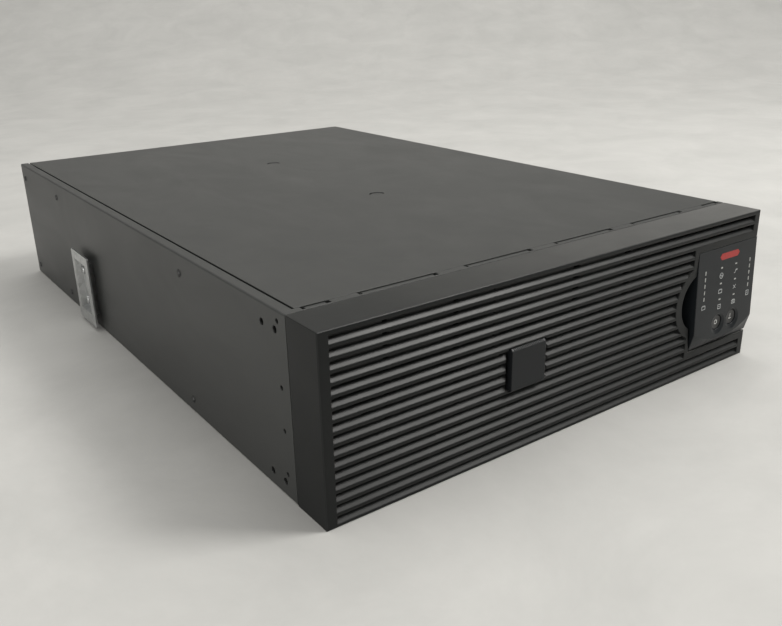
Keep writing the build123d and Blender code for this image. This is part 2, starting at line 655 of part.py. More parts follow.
def drawer_handle(side):
    """Fixed flat-bar pull, with rounded corners."""
    middle = DRAWER_LEFT_EDGES[side] + DRAWER_WIDTH / 2
    back, front = PLATE_FRONT, PLATE_FRONT - HANDLE_REACH
    bow_x = wider((middle, middle), HANDLE_SPAN / 2)
    bow = block(bow_x, (front, back), HANDLE_Z)
    bow -= block(wider(bow_x, -HANDLE_BAR), (front + HANDLE_BAR, back + CLEAR), wider(HANDLE_Z, CLEAR))
    bends = [e for e in bow.edges().filter_by(Axis.Z) if e.center().Y < front + SLIT]
    bow = fillet(bends, HANDLE_BEND_R)
    foot_width, foot_thick, overhang = HANDLE_FOOT
    for x in bow_x:
        foot = wider((x, x), foot_width / 2)
        bow += block(foot, (back - foot_thick, back), wider(HANDLE_Z, overhang))
    return bow


def drawer_thumbscrews(side):
    """Two captive screws with ridged heads."""
    screws = []
    for place in thumbscrew_places(side):
        head = Pos(*place) * RegularPolygon(THUMB_HEAD_R, THUMB_SIDES)
        screw = along_y(head, (PLATE_FRONT - THUMB_HEAD, PLATE_FRONT))
        screws.append(screw + along_y(Pos(*place) * Circle(THUMB_STEM_R), (PLATE_FRONT, SEAM_Y + THUMB_HEAD)))
    return group(screws)


def battery_places(side):
    """The low corner of each battery in a drawer."""
    x0 = DRAWER_LEFT_EDGES[side] + (DRAWER_WIDTH - 2 * BLOCK_WIDTH - BLOCK_GAP) / 2
    y0 = DRAWER_BACK - THIN - BLOCK_GAP - BLOCK_ROWS * (BLOCK_LENGTH + BLOCK_GAP)
    columns = [x0 + n * (BLOCK_WIDTH + BLOCK_GAP) for n in range(2)]
    rows = [y0 + n * (BLOCK_LENGTH + BLOCK_GAP) for n in range(BLOCK_ROWS)]
    return grid(columns, rows)


def battery_blocks(side):
    """Sealed batteries, each a case with a set-in lid and two terminal wells."""
    top = BATTERY_BASE + BLOCK_HEIGHT
    blocks = []
    for x, y in battery_places(side):
        block_x, block_y = (x, x + BLOCK_WIDTH), (y, y + BLOCK_LENGTH)
        body = block(block_x, block_y, (BATTERY_BASE, top - LID_HEIGHT))
        lid = block(wider(block_x, -LID_INSET), wider(block_y, -LID_INSET), (top - LID_HEIGHT, top))
        middle = x + BLOCK_WIDTH / 2
        wells = [Pos(middle + d, y + WELL_SETBACK, top) * Box(*WELL_SIZE) for d in WELL_OFFSETS]
        blocks.append(body + lid - wells)
    return group(blocks)


def battery_terminals(side):
    """Tab terminals standing in the wells."""
    width, thickness, height = TERMINAL_TAB
    base = BATTERY_BASE + BLOCK_HEIGHT - WELL_SIZE[2] / 2
    tabs = []
    for x, y in battery_places(side):
        for d in WELL_OFFSETS:
            middle = (x + BLOCK_WIDTH / 2 + d, y + WELL_SETBACK, base + height / 2)
            tabs.append(Pos(*middle) * Box(width, thickness, height))
    return group(tabs)


def battery_plug(side):
    """Plug on the tray's back wall, a loose push fit in its socket."""
    body = along_y(receptacle_sketch(side, -RECEPTACLE_WALL - PLUG_GAP), (DRAWER_BACK, BAY_REAR_Y + PLUG_END))
    return body + along_y(receptacle_sketch(side, CLEAR), (DRAWER_BACK, DRAWER_BACK + PLUG_FLANGE))


# ---- Bezel ---------------------------------------------------------------------------------------------
def slot_top(row):
    return FIRST_SLOT_TOP - SLOT_PITCH * (row - 1)


def louvre_heights(row):
    """Of the louvre under a slot: its front lip, its crest, and where its top meets the back of the face."""
    lip = slot_top(row) - SLOT_OPEN
    crest = lip + LOUVRE_RISE
    return lip, crest, crest - (FACE_DEPTH - LIP_EDGE - LOUVRE_RISE)


def slot_profile(row):
    """Y and Z outline of one slot: the louvre below it slopes up and back from its front lip."""
    top = slot_top(row)
    lip, crest, back_z = louvre_heights(row)
    outline = [
        (-2 * CLEAR, top),
        (-2 * CLEAR, lip - LIP_EDGE),
        (0, lip - LIP_EDGE),
        (LIP_EDGE, lip),
        (LIP_EDGE + LOUVRE_RISE, crest),
        (FACE_DEPTH, back_z),
        (FACE_DEPTH + CLEAR, back_z),
        (FACE_DEPTH + CLEAR, top),
    ]
    return Polygon(*[(FRONT + d, z) for d, z in outline], align=None)


def relief_profile(row):
    """The space behind the louvre that is under a slot."""
    lip, _, back_z = louvre_heights(row)
    foot = lip - (SLOT_PITCH - SLOT_OPEN)
    outline = [
        (LIP_THICK, foot),
        (FACE_DEPTH + CLEAR, foot),
        (FACE_DEPTH + CLEAR, back_z),
        (FACE_DEPTH, back_z),
        (LIP_THICK, back_z - (FACE_DEPTH - LIP_THICK)),
    ]
    return Polygon(*[(FRONT + d, z) for d, z in outline], align=None)


def rows_sketch(rows, louvres):
    """Slots, and the reliefs behind the louvres under some of them, as one sketch of Y and Z."""
    return Sketch() + [slot_profile(row) for row in rows] + [relief_profile(row) for row in louvres]


def cutout_sketch():
    """The display's opening, with the finger scoop and its tail on the left."""
    foot = CUTOUT_Z[0] + CLEAR
    tail = Polygon(SCOOP_TAIL, (CUTOUT_X, foot), (SCOOP_CENTRE[0], foot), SCOOP_CENTRE, align=None)
    return plate((CUTOUT_X, RIGHT + CLEAR), CUTOUT_Z) + Pos(*SCOOP_CENTRE) * Circle(SCOOP_R) + tail


def badge_pocket():
    """The X and Z limits of the recess that the badge sits in."""
    return around(BADGE_CENTRE, BADGE_WIDTH + 2 * BADGE_GAP, BADGE_HEIGHT + 2 * BADGE_GAP_Z)


def bezel_shell():
    """Box open at the back, with rounded front edges."""
    shell = block((LEFT, RIGHT), (FRONT, BEZEL_BACK), (0, HEIGHT))
    shell = fillet(shell.faces().sort_by(Axis.Y)[0].edges(), BEZEL_EDGE_R)
    inside_x = wider((LEFT, RIGHT), -BEZEL_WALL)
    inside_z = wider((0, HEIGHT), -BEZEL_WALL)
    return shell - block(inside_x, (FACE_BACK, BEZEL_BACK + CLEAR), inside_z)


def slot_cuts():
    """Every slot of the face; the shorter ones stop at the rim of the finger scoop."""
    long_cut = along_x(rows_sketch(LONG_ROWS, LONG_LOUVRES), (SLOT_LEFT, LONG_SLOT_RIGHT))
    short_cut = along_x(rows_sketch(SHORT_ROWS, SHORT_LOUVRES), (SLOT_LEFT, SHORT_SLOT_RIGHT))
    rim = Pos(*SCOOP_CENTRE) * Circle(SCOOP_RIM_R)
    return [long_cut, short_cut - along_y(rim, wider((FRONT, FACE_BACK), 2 * CLEAR))]


def badge_recess():
    """The badge's pocket through the louvres, with their cut ends pointed on both sides of it."""
    (x0, x1), (z0, z1) = badge_pocket()
    recess = [block((x0, x1), wider((FRONT, FACE_BACK), CLEAR), (z0, z1))]
    for edge, sign in ((x0, 1), (x1, -1)):
        tip = (edge - sign * NOSE, FRONT - SLIT)
        root = (edge + sign * CLEAR, FRONT - SLIT)
        deep = (edge + sign * CLEAR, FRONT - SLIT + NOSE + CLEAR)
        recess.append(along_z(Polygon(tip, root, deep, align=None), (z0 + CLEAR, z1 - 2 * CLEAR)))
    return recess


def front_bezel():
    """Pull-off front cover: louvres, badge recess, finger scoop and display opening in one moulding."""
    bezel = bezel_shell() - slot_cuts() - badge_recess()
    for x in RIB_PLACES:
        rib_y = (FACE_BACK - EMBED, FACE_BACK + RIB_DEPTH)
        bezel += block(wider((x, x), RIB_THICK / 2), rib_y, wider((0, HEIGHT), -CLEAR))
    carrier_x = wider(badge_pocket()[0], CARRIER_BORDER)
    bezel += block(carrier_x, (FACE_BACK - EMBED, FACE_BACK + CARRIER_DEPTH), CARRIER_Z)
    boss_end = FACE_BACK + BADGE_BOSS_DEPTH
    bezel += along_y(Pos(*BADGE_CENTRE) * Circle(BADGE_BOSS_R), (FACE_BACK, boss_end))
    bezel -= along_y(Pos(*BADGE_CENTRE) * Circle(BADGE_STEM_R + FIT), (FRONT, boss_end + CLEAR))
    for z in ((CUTOUT_Z[0] - BEZEL_WALL, CUTOUT_Z[0]), (CUTOUT_Z[1], CUTOUT_Z[1] + BEZEL_WALL)):
        bezel += block((SHORT_SLOT_RIGHT, RIGHT), (FACE_BACK - EMBED, BEZEL_BACK), z)
    return bezel - along_y(cutout_sketch(), wider((FRONT, BEZEL_BACK), CLEAR))


def badge():
    """Square badge with a slanted, ribbed top edge and a round stem; its face carries no mark."""
    x, z = around(BADGE_CENTRE, BADGE_WIDTH, BADGE_HEIGHT)
    front = FRONT - BADGE_PROUD
    body = block(x, (front, front + BADGE_THICK), z)
    body = chamfer(body.faces().sort_by(Axis.Y)[0].edges().sort_by(Axis.Z)[-1], BADGE_SLANT)
    body = chamfer(body.faces().sort_by(Axis.Y)[0].edges().sort_by(Axis.Z)[0], BADGE_EDGE)
    middle = (front + BADGE_SLANT / 2, z[1] - BADGE_SLANT / 2)
    groove = Rot(45, 0, 0) * Box(BADGE_RIB_GROOVE, 2 * BADGE_SLANT, BADGE_RIB_GROOVE)
    offsets = [BADGE_RIB_PITCH * (n - (BADGE_RIBS - 1) / 2) for n in range(BADGE_RIBS)]
    grooves = [Pos(BADGE_CENTRE[0] + d, *middle) * groove for d in offsets]
    stem = along_y(Pos(*BADGE_CENTRE) * Circle(BADGE_STEM_R), (FRONT, FRONT + BADGE_STEM_LENGTH))
    return body - grooves + stem


# ---- Display module ------------------------------------------------------------------------------------
def face_y(z):
    """The front of the display's tilted face at a height."""
    return FRONT - FACE_PROUD * (MODULE_Z[1] - z) / (MODULE_Z[1] - FACE_LOW_Z)


def face_block():
    """The proud, tilted face with its curved lower edge, and the chin that slopes back below it."""
    (x0, x1), (z0, z1) = MODULE_X, MODULE_Z
    base_y = FRONT + MODULE_SETBACK
    base = [(x0, base_y, z1), (x0, base_y, z0), (x1, base_y, z0), (x1, base_y, z1)]
    side = [(x, face_y(FACE_SIDE_Z), FACE_SIDE_Z) for x in (x0, x1)]
    top = [(x, face_y(z1), z1) for x in (x0, x1)]
    lowest = ((x0 + x1) / 2, face_y(FACE_LOW_Z), FACE_LOW_Z)
    face_edges = [
        Line(top[0], side[0]),
        ThreePointArc(side[0], lowest, side[1]),
        Line(side[1], top[1]),
        Line(top[1], top[0]),
    ]
    base_edges = [Line(a, b) for a, b in zip(base, base[1:] + base[:1])]
    return loft([Face(Wire(base_edges)), Face(Wire(face_edges))], ruled=True)


def lens_places():
    """Centre, width and height of every status lens: two columns of lamps and two bar graphs."""
    lamps = [(x, z, *LED_SIZE) for x, z in grid(LED_COLUMNS, LED_ROWS)]
    ticks = [BAR_TOP_Z - BAR_PITCH * n for n in range(BAR_TICKS)]
    return lamps + [(x, z, *BAR_SIZE) for x, z in grid(BAR_COLUMNS, ticks)]


def display_fascia():
    """Housing of the display module, open at the back, with dished button wells and lens slots."""
    hollow_y = (FRONT + MODULE_FACE, MODULE_BACK + CLEAR)
    through = (FRONT - FACE_PROUD - CLEAR, FRONT + MODULE_FACE + CLEAR)
    body = block(MODULE_X, (FRONT + MODULE_SETBACK, MODULE_BACK), MODULE_Z) + face_block()
    body -= block(wider(MODULE_X, -MODULE_WALL), hollow_y, wider(MODULE_Z, -MODULE_WALL))
    corners = grid(wider(MODULE_X, -MODULE_POST_INSET), wider(MODULE_Z, -MODULE_POST_INSET))
    body += along_y(discs(corners, MODULE_POST_R), (FRONT + MODULE_FACE - EMBED, DISPLAY_BOARD_Y))
    dish_radius = (DISH_R**2 + DISH_DEPTH**2) / (2 * DISH_DEPTH)
    for x in BUTTON_CENTRES.values():
        body -= Pos(x, face_y(BUTTON_Z) + DISH_DEPTH - dish_radius, BUTTON_Z) * Sphere(dish_radius)
        body -= along_y(Pos(x, BUTTON_Z) * Circle(BUTTON_R + BUTTON_GAP), through)
    for x, z, width, height in lens_places():
        body -= along_y(plate(*around((x, z), width, height)), through)
    return body


def status_lenses():
    """Clear light pipes that fill the lens slots."""
    lenses = []
    for x, z, width, height in lens_places():
        depth = (face_y(z) - LENS_PROUD, FRONT + LENS_END)
        lenses.append(along_y(plate(*around((x, z), width, height)), depth))
    return group(lenses)


def power_button(node):
    """Round dished cap with a rear flange and a stem that meets the switch behind."""
    centre = Pos(BUTTON_CENTRES[node], BUTTON_Z)
    front = face_y(BUTTON_Z) + BUTTON_SINK
    flange_y = [FRONT + d for d in BUTTON_FLANGE_Y]
    cap = along_y(centre * Circle(BUTTON_R), (front, flange_y[1]))
    cap = fillet(cap.faces().sort_by(Axis.Y)[0].edges(), BUTTON_EDGE_R)
    hollow_y = front + BUTTON_HOLLOW - BUTTON_HOLLOW_R
    cap -= Pos(BUTTON_CENTRES[node], hollow_y, BUTTON_Z) * Sphere(BUTTON_HOLLOW_R)
    cap += along_y(centre * Circle(BUTTON_R + BUTTON_FLANGE), flange_y)
    return cap + along_y(centre * Circle(BUTTON_STEM_R), (flange_y[1], FRONT + BUTTON_STEM_END))


def display_board():
    """Board with the lamps' emitters and button switches in front and the plug behind."""
    front = DISPLAY_BOARD_Y
    outline = plate(wider(MODULE_X, -BOARD_MARGIN), wider(MODULE_Z, -BOARD_MARGIN))
    board = along_y(outline, (front, front + BOARD_THICK))
    for x, z, _, _ in lens_places():
        board += Pos(x, front - EMITTER_SIZE[1] / 2, z) * Box(*EMITTER_SIZE)
    for x in BUTTON_CENTRES.values():
        board += Pos(x, front - SWITCH_SIZE[1] / 2, BUTTON_Z) * Box(*SWITCH_SIZE)
        board += along_y(Pos(x, BUTTON_Z) * Circle(PLUNGER_R), (front - PLUNGER_REACH, front))
    return board + block(PLUG_X, (front + BOARD_THICK, FRAME_BACK + PLUG_REACH), PLUG_Z)


def display_socket():
    """Case-side socket that the display module plugs into."""
    outer = plate(wider(PLUG_X, SOCKET_WALL), wider(PLUG_Z, SOCKET_WALL))
    mouth = plate(wider(PLUG_X, SOCKET_GAP), wider(PLUG_Z, SOCKET_GAP))
    body = along_y(outer, (FRAME_BACK, FRAME_BACK + SOCKET_DEPTH))
    return body - along_y(mouth, (FRAME_BACK - CLEAR, FRAME_BACK + SOCKET_MOUTH))


# ---- Electronics ---------------------------------------------------------------------------------------
def power_board():
    """Rectifier and inverter board under the heatsinks."""
    return block(POWER_BOARD_X, POWER_BOARD_Y, (BOARD_Z, BOARD_TOP))


def charger_board():
    """Charger and output board beside the battery bay."""
    return block(SIDE_BOARD_X, SIDE_BOARD_Y, (BOARD_Z, BOARD_TOP))


def board_standoffs():
    """Hexagonal pillars under both boards."""
    pillars = []
    for x, y in ((POWER_BOARD_X, POWER_BOARD_Y), (SIDE_BOARD_X, SIDE_BOARD_Y)):
        rows = (*wider(y, -STANDOFF_INSET), sum(y) / 2)
        pillars += [Pos(*place) * RegularPolygon(STANDOFF_R, 6) for place in grid(wider(x, -STANDOFF_INSET), rows)]
    return group([along_z(pillar, (SHEET, BOARD_Z)) for pillar in pillars])


def heatsinks():
    """Two finned extrusions in line with the fans."""
    width, height = HEATSINK_SIZE
    pitch = (width - FIN_THICK) / (HEATSINK_FINS - 1)
    section = plate((0, width), (0, HEATSINK_BASE))
    section += [plate((n * pitch, n * pitch + FIN_THICK), (0, height)) for n in range(HEATSINK_FINS)]
    return group([along_y(Pos(x, HEATSINK_Z) * section, HEATSINK_Y) for x in HEATSINK_LEFTS])


def power_transistors():
    """Flat packages clamped under the heatsinks."""
    width, length, height = TRANSISTOR_SIZE
    cases = []
    for left in HEATSINK_LEFTS:
        middle = left + HEATSINK_SIZE[0] / 2
        for y in [TRANSISTOR_FIRST_Y + TRANSISTOR_PITCH * n for n in range(TRANSISTORS)]:
            case_x = wider((middle, middle), width / 2)
            cases.append(block(case_x, (y, y + length), (HEATSINK_Z - height, HEATSINK_Z)))
    return group(cases)


def bus_capacitors():
    """Upright cans on the power board."""
    cans = []
    for x, y in grid(*CAPACITOR_PLACES):
        can = along_z(Pos(x, y) * Circle(CAPACITOR_R), (BOARD_TOP, BOARD_TOP + CAPACITOR_HEIGHT))
        cans.append(fillet(can.faces().sort_by(Axis.Z)[-1].edges(), CAPACITOR_EDGE_R))
    return group(cans)


def filter_inductors():
    """Ring cores standing on the charger board."""
    ring = Circle(INDUCTOR_R) - Circle(INDUCTOR_BORE_R)
    middle = BOARD_TOP + INDUCTOR_R + EMBED
    return group([along_x(Pos(y, middle) * ring, INDUCTOR_X) for y in INDUCTOR_PLACES])


def charger_transformer():
    """Ferrite core with its three legs, on the charger board."""
    top = BOARD_TOP + CORE_HEIGHT
    middle = sum(CORE_Y) / 2
    core = block(CORE_X, CORE_Y, (BOARD_TOP, top))
    core -= block(wider(CORE_X, CLEAR), wider(CORE_Y, -CORE_ARM), (BOARD_TOP + CORE_YOKE, top - CORE_YOKE))
    return core + block(CORE_X, wider((middle, middle), CORE_ARM / 2), (BOARD_TOP, top))


def control_board():
    """Upright logic board on the bay's side wall."""
    board = block((CONTROL_X, CONTROL_X + BOARD_THICK), CONTROL_Y, CONTROL_Z)
    corners = grid(wider(CONTROL_Y, -CONTROL_INSET), wider(CONTROL_Z, -CONTROL_INSET))
    return board + along_x(discs(corners, SPACER_R), (BAY_SIDE_X + THIN, CONTROL_X))


def ribbon_cable():
    """Flat cable from the display socket to the logic board."""
    back = FRAME_BACK + RIBBON_LOOP
    across = (CONTROL_X + BOARD_THICK, RIBBON_SOCKET_X)
    into_socket = (RIBBON_SOCKET_X - RIBBON_THICK, RIBBON_SOCKET_X)
    cable = block(across, (back - RIBBON_THICK, back), RIBBON_Z)
    return cable + block(into_socket, (FRAME_BACK + SOCKET_DEPTH, back), RIBBON_Z)


def mains_filter():
    """Screened input filter behind the terminals."""
    can = block(FILTER_X, FILTER_Y, (SHEET, FILTER_TOP))
    return fillet(can.edges().filter_by(Axis.Z), FILTER_EDGE_R)


# ---- Rear fittings -------------------------------------------------------------------------------------
def corner_places(centre, pitch):
    """The four corners of a square about a centre."""
    x, z = centre
    return grid(wider((x, x), pitch / 2), wider((z, z), pitch / 2))


def fan_frame(centre):
    """Square duct with a motor seat on three arms and a bearing post."""
    duct = RectangleRounded(FAN_SIZE, FAN_SIZE, FAN_CORNER_R) - Circle(FAN_BORE_R)
    arm = Pos(FAN_BORE_R / 2 + FAN_ARM, 0) * Rectangle(FAN_BORE_R, FAN_ARM)
    arms = [Rot(0, 0, 90 + 360 / FAN_ARMS * n) * arm for n in range(FAN_ARMS)]
    seat = Sketch() + arms + Circle(FAN_HUB_R + CLEAR)
    middle = Pos(*centre)
    frame = along_y(middle * duct, (FAN_BACK, PANEL_IN))
    frame += along_y(middle * seat, (FAN_BACK, FAN_BACK + FAN_ARM))
    frame += along_y(middle * Circle(FAN_POST_R), (FAN_BACK, FAN_BACK + FAN_POST_LENGTH))
    holes = discs(corner_places(centre, FAN_SCREW_PITCH), FAN_SCREW_HOLE_R)
    return frame - along_y(holes, wider((FAN_BACK, PANEL_IN), CLEAR))


def fan_frames():
    return group([fan_frame(centre) for centre in FAN_CENTRES.values()])


def fan_rotor(side):
    """Hub and pitched blades on the bearing post."""
    x, z = FAN_CENTRES[side]
    thickness, chord = FAN_BLADE
    rotor = along_y(Pos(x, z) * Circle(FAN_HUB_R), [FAN_BACK + d for d in FAN_HUB_Y])
    rotor = fillet(rotor.faces().sort_by(Axis.Y)[-1].edges(), FAN_HUB_EDGE_R)
    blade = Rot(FAN_BLADE_PITCH, 0, 0) * Box(FAN_TIP_R - FAN_HUB_R, thickness, chord)
    blade = Pos((FAN_HUB_R + FAN_TIP_R) / 2 - FAN_BLADE_ROOT, 0, 0) * blade
    for n in range(FAN_BLADES):
        rotor += Pos(x, FAN_BACK + FAN_BLADE_MIDDLE, z) * Rot(0, 360 / FAN_BLADES * n, 0) * blade
    bore_end = FAN_BACK + FAN_POST_LENGTH + EMBED
    return rotor - along_y(Pos(x, z) * Circle(FAN_POST_R + FIT), (FAN_BACK, bore_end))


def fan_guard(centre):
    """Stamped finger guard: rings on a cross, with four screw ears."""
    rings = [Circle(r + GUARD_WIRE / 2) - Circle(r - GUARD_WIRE / 2) for r in GUARD_RINGS]
    diagonal = FAN_SCREW_PITCH * sqrt(2)
    spokes = [Rot(0, 0, angle) * Rectangle(diagonal, GUARD_SPOKE) for angle in (45, 135)]
    guard = Pos(*centre) * (Sketch() + rings + spokes)
    guard += discs(corner_places(centre, FAN_SCREW_PITCH), GUARD_EAR_R)
    guard -= discs(corner_places(centre, FAN_SCREW_PITCH), GUARD_HOLE_R)
    return along_y(guard, (PANEL_OUT, PANEL_OUT + GUARD_THICK))


def fan_guards():
    return group([fan_guard(centre) for centre in FAN_CENTRES.values()])


def blade_slot(middle):
    """A curved, square-ended slot for one blade, about the sketch's origin."""
    inner, outer = BLADE_RING
    sides = [Vector(2 * outer, 0, 0).rotate(Axis.Z, middle + turn) for turn in wider((0, 0), BLADE_SPAN / 2)]
    wedge = Polygon((0, 0), *[(side.X, side.Y) for side in sides], align=None)
    return (Circle(outer) - Circle(inner)) & wedge


def locking_outlets():
    """Round twist-lock outlets with three curved blade slots each."""
    face = Pos(0, BLADE_RING[0]) * Rectangle(*BLADE_KEY) + [blade_slot(angle) for angle in BLADE_ANGLES]
    outlets = []
    for centre in OUTLET_CENTRES:
        middle = Pos(*centre)
        flange = along_y(middle * Circle(OUTLET_FLANGE_R), (PANEL_OUT, PANEL_OUT + OUTLET_FLANGE))
        flange = chamfer(flange.faces().sort_by(Axis.Y)[-1].edges(), OUTLET_EDGE)
        body = along_y(middle * Circle(OUTLET_R), (PANEL_IN - OUTLET_BODY_DEPTH, PANEL_OUT + CLEAR))
        slots = along_y(middle * face, (PANEL_OUT - BLADE_DEPTH, PANEL_OUT + OUTLET_FLANGE + CLEAR))
        outlets.append(body + flange - slots)
    return group(outlets)


def breaker_outline(centre, gap):
    """A breaker's case behind its flange, with a gap all round."""
    x, z = around(centre, *BREAKER_SIZE)
    return plate(wider(x, gap - BREAKER_BORDER[0]), wider(z, gap - BREAKER_BORDER[1]))


def breaker_body(centre):
    """Breaker case with a framed rocker well."""
    x, z = centre
    flange = along_y(plate(*around(centre, *BREAKER_SIZE)), (PANEL_OUT, PANEL_OUT + BREAKER_FLANGE))
    body = along_y(breaker_outline(centre, 0), (PANEL_IN - BREAKER_DEPTH, PANEL_OUT))
    beside, below = ROCKER_GAP
    well_x = wider((x, x), ROCKER_WIDTH / 2 + beside)
    well = along_x(Pos(PANEL_OUT, z) * Circle(ROCKER_R + below), well_x)
    pins = along_x(Pos(PANEL_OUT, z) * Circle(ROCKER_PIN_R + FIT), wider(well_x, ROCKER_PIN))
    return flange + body - well - pins


def breaker_bodies():
    return group([breaker_body(centre) for centre in BREAKER_CENTRES.values()])


def breaker_rocker(place):
    """Rocker lying in its on position: a round underside with two finger planes."""
    x, z = BREAKER_CENTRES[place]
    reach = ROCKER_R + CLEAR
    middle, end = ROCKER_PROUD
    planes = [(-reach, -reach), (reach, -reach), (reach, end), (0, middle), (-reach, end)]
    outline = Circle(ROCKER_R) & (Rot(0, 0, -90) * Polygon(*planes, align=None))
    rocker_x = wider((x, x), ROCKER_WIDTH / 2)
    rocker = along_x(Pos(PANEL_OUT, z) * Rot(0, 0, ROCKER_TILT) * outline, rocker_x)
    return rocker + along_x(Pos(PANEL_OUT, z) * Circle(ROCKER_PIN_R), wider(rocker_x, ROCKER_PIN))


def terminal_block():
    """Five-way screw terminal strip on its bracket, for the mains leads."""
    back, front = [PANEL_IN - d for d in STRIP_Y]
    strip = block(STRIP_X, (back, front), STRIP_Z)
    pitch = (STRIP_X[1] - STRIP_X[0] - STRIP_BARRIER) / STRIP_WAYS
    for n in range(STRIP_WAYS + 1):
        x = STRIP_X[0] + pitch * n
        strip += block((x, x + STRIP_BARRIER), (back, front + STRIP_BARRIER_PROUD), STRIP_Z)
    return strip + block(STRIP_X, (back - STRIP_BRACKET, back), (SHEET, STRIP_Z[1]))


def terminal_cover():
    """Plate over the terminals with two ringed knockouts."""
    groove = discs(KNOCKOUT_PLACES, KNOCKOUT_R) - discs(KNOCKOUT_PLACES, KNOCKOUT_R - KNOCKOUT_GROOVE)
    cover = along_y(plate(TERMINAL_X, TERMINAL_Z), (PANEL_OUT, PANEL_OUT + PLATE))
    return cover - along_y(groove, (PANEL_OUT + PLATE / 2, PANEL_OUT + PLATE + CLEAR))


def card_slot_cover():
    """Plate over the empty interface-card slot."""
    return along_y(plate(CARD_X, CARD_Z), (PANEL_OUT, PANEL_OUT + PLATE))


def pin_row(count, rise):
    """Evenly spaced pins of the serial port, in a row above or below its middle."""
    x, z = SERIAL_CENTRE
    return [(x + SERIAL_PIN_PITCH * (n - (count - 1) / 2), z + rise) for n in range(count)]


def serial_port():
    """Nine-way computer interface port: flanged D shell with a filled face."""
    width, height, thickness = SERIAL_FLANGE
    top, bottom, half_height = SERIAL_SHELL
    corners = [(-top, half_height), (top, half_height), (bottom, -half_height), (-bottom, -half_height)]
    port = along_y(plate(*around(SERIAL_CENTRE, width, height)), (PANEL_OUT, PANEL_OUT + thickness))
    shell_y = (PANEL_IN - SERIAL_BACK, PANEL_OUT + SERIAL_PROUD)
    port += along_y(Pos(*SERIAL_CENTRE) * Polygon(*corners, align=None), shell_y)
    pins = discs(pin_row(5, SERIAL_ROW_Z) + pin_row(4, -SERIAL_ROW_Z), SERIAL_PIN_R)
    return port - along_y(pins, (PANEL_OUT + CLEAR, PANEL_OUT + SERIAL_PROUD + CLEAR))


def remote_off_connector():
    """Two-way plug-in screw terminal for a remote power-off switch."""
    front = PANEL_OUT + REMOTE_PROUD
    body = along_y(plate(*around(REMOTE_CENTRE, *REMOTE_SIZE)), (PANEL_IN - REMOTE_BACK, front))
    screws = [(REMOTE_CENTRE[0] + d, REMOTE_CENTRE[1] + REMOTE_SCREW_RISE) for d in REMOTE_SCREW_OFFSETS]
    return body - along_y(discs(screws, REMOTE_SCREW_R), (front - REMOTE_SCREW_DEPTH, front + CLEAR))


def battery_port_cap():
    """Snap-on cap over the extra-battery connector, with a grip rib."""
    width, height = BATTERY_PORT_SIZE
    outline = plate(*around(BATTERY_PORT_CENTRE, width + 2 * CAP_BORDER[0], height + 2 * CAP_BORDER[1]))
    back, front = [PANEL_OUT + d for d in CAP_Y]
    cap = along_y(outline, (back, front))
    cap = fillet(cap.faces().sort_by(Axis.Y)[-1].edges(), CAP_EDGE_R)
    rib_width, rib_height, rib_proud = CAP_RIB
    rib = plate(*around(BATTERY_PORT_CENTRE, rib_width, rib_height))
    return cap + along_y(rib, (front - EMBED, PANEL_OUT + rib_proud))


def ground_stud():
    """Bonding stud with its washer and nut."""
    place = Pos(*GROUND_PLACE)
    bore = Circle(STUD_R + SLIT)
    washer_y = (PANEL_OUT, PANEL_OUT + NUT_Y[0])
    stud = along_y(place * Circle(STUD_R), (PANEL_OUT, REAR + STUD_PROUD))
    washer = along_y(place * (Circle(WASHER_R) - bore), washer_y)
    nut = along_y(place * (RegularPolygon(NUT_R, 6) - bore), [PANEL_OUT + d for d in NUT_Y])
    return group([stud, washer, nut])


def pan_head(radius, height):
    """Screw head standing on the XY plane, with a cross recess."""
    head = Cylinder(radius, height, align=(Align.CENTER, Align.CENTER, Align.MIN))
    head = fillet(head.faces().sort_by(Axis.Z)[-1].edges(), height * HEAD_ROUNDING)
    recess = Pos(0, 0, height) * (Box(radius, SCREW_CROSS, height) + Box(SCREW_CROSS, radius, height))
    return head - recess


def rear_screws():
    """Heads of the fan, terminal-cover, card-cover and top-cover screws."""
    head = Rot(-90, 0, 0) * pan_head(*SCREW_HEAD)
    plates = grid(wider(TERMINAL_X, -SCREW_INSET), wider(TERMINAL_Z, -SCREW_INSET))
    plates += grid(wider(CARD_X, -CARD_SCREW_INSET), (sum(CARD_Z) / 2,))
    flange = grid(FLANGE_SCREWS_X, (FLANGE_SCREWS_Z,))
    screws = [Pos(x, PANEL_OUT + PLATE, z) * head for x, z in plates]
    screws += [Pos(x, PANEL_OUT + FIT + SHEET, z) * head for x, z in flange]
    for centre in FAN_CENTRES.values():
        fan = corner_places(centre, FAN_SCREW_PITCH)
        screws += [Pos(x, PANEL_OUT + GUARD_THICK, z) * head for x, z in fan]
    return group(screws)


# ---- Rail brackets -------------------------------------------------------------------------------------
def channel_section(x, inset):
    """The pressed channel's outline at an X, drawn in from its mouth by an inset."""
    return Plane.YZ.offset(x) * plate(wider(CHANNEL_Y, -inset), wider(CHANNEL_Z, -inset))


def rail_bracket():
    """Bracket on the left wall: a plate that stands off it, with a pressed channel that meets the wall."""
    steel = BRACKET_STEEL
    outer = LEFT - BRACKET_STAND_OFF
    bracket = block((outer, outer + steel), BRACKET_Y, BRACKET_Z)
    bracket = chamfer(bracket.edges().filter_by(Axis.X), BRACKET_CORNER)
    bracket += loft([channel_section(outer, 0), channel_section(LEFT, CHANNEL_SLOPE)])
    floor = channel_section(LEFT - steel, steel + CHANNEL_SLOPE)
    return bracket - loft([channel_section(outer, steel), floor])


def bracket_screws():
    """Two pan-head screws in each bracket's channel."""
    head = Rot(0, -90, 0) * pan_head(*BRACKET_SCREW_HEAD)
    left = [Pos(LEFT - BRACKET_STEEL, y, z) * head for y, z in BRACKET_SCREWS]
    return group(left + [mirrored(screw) for screw in left])


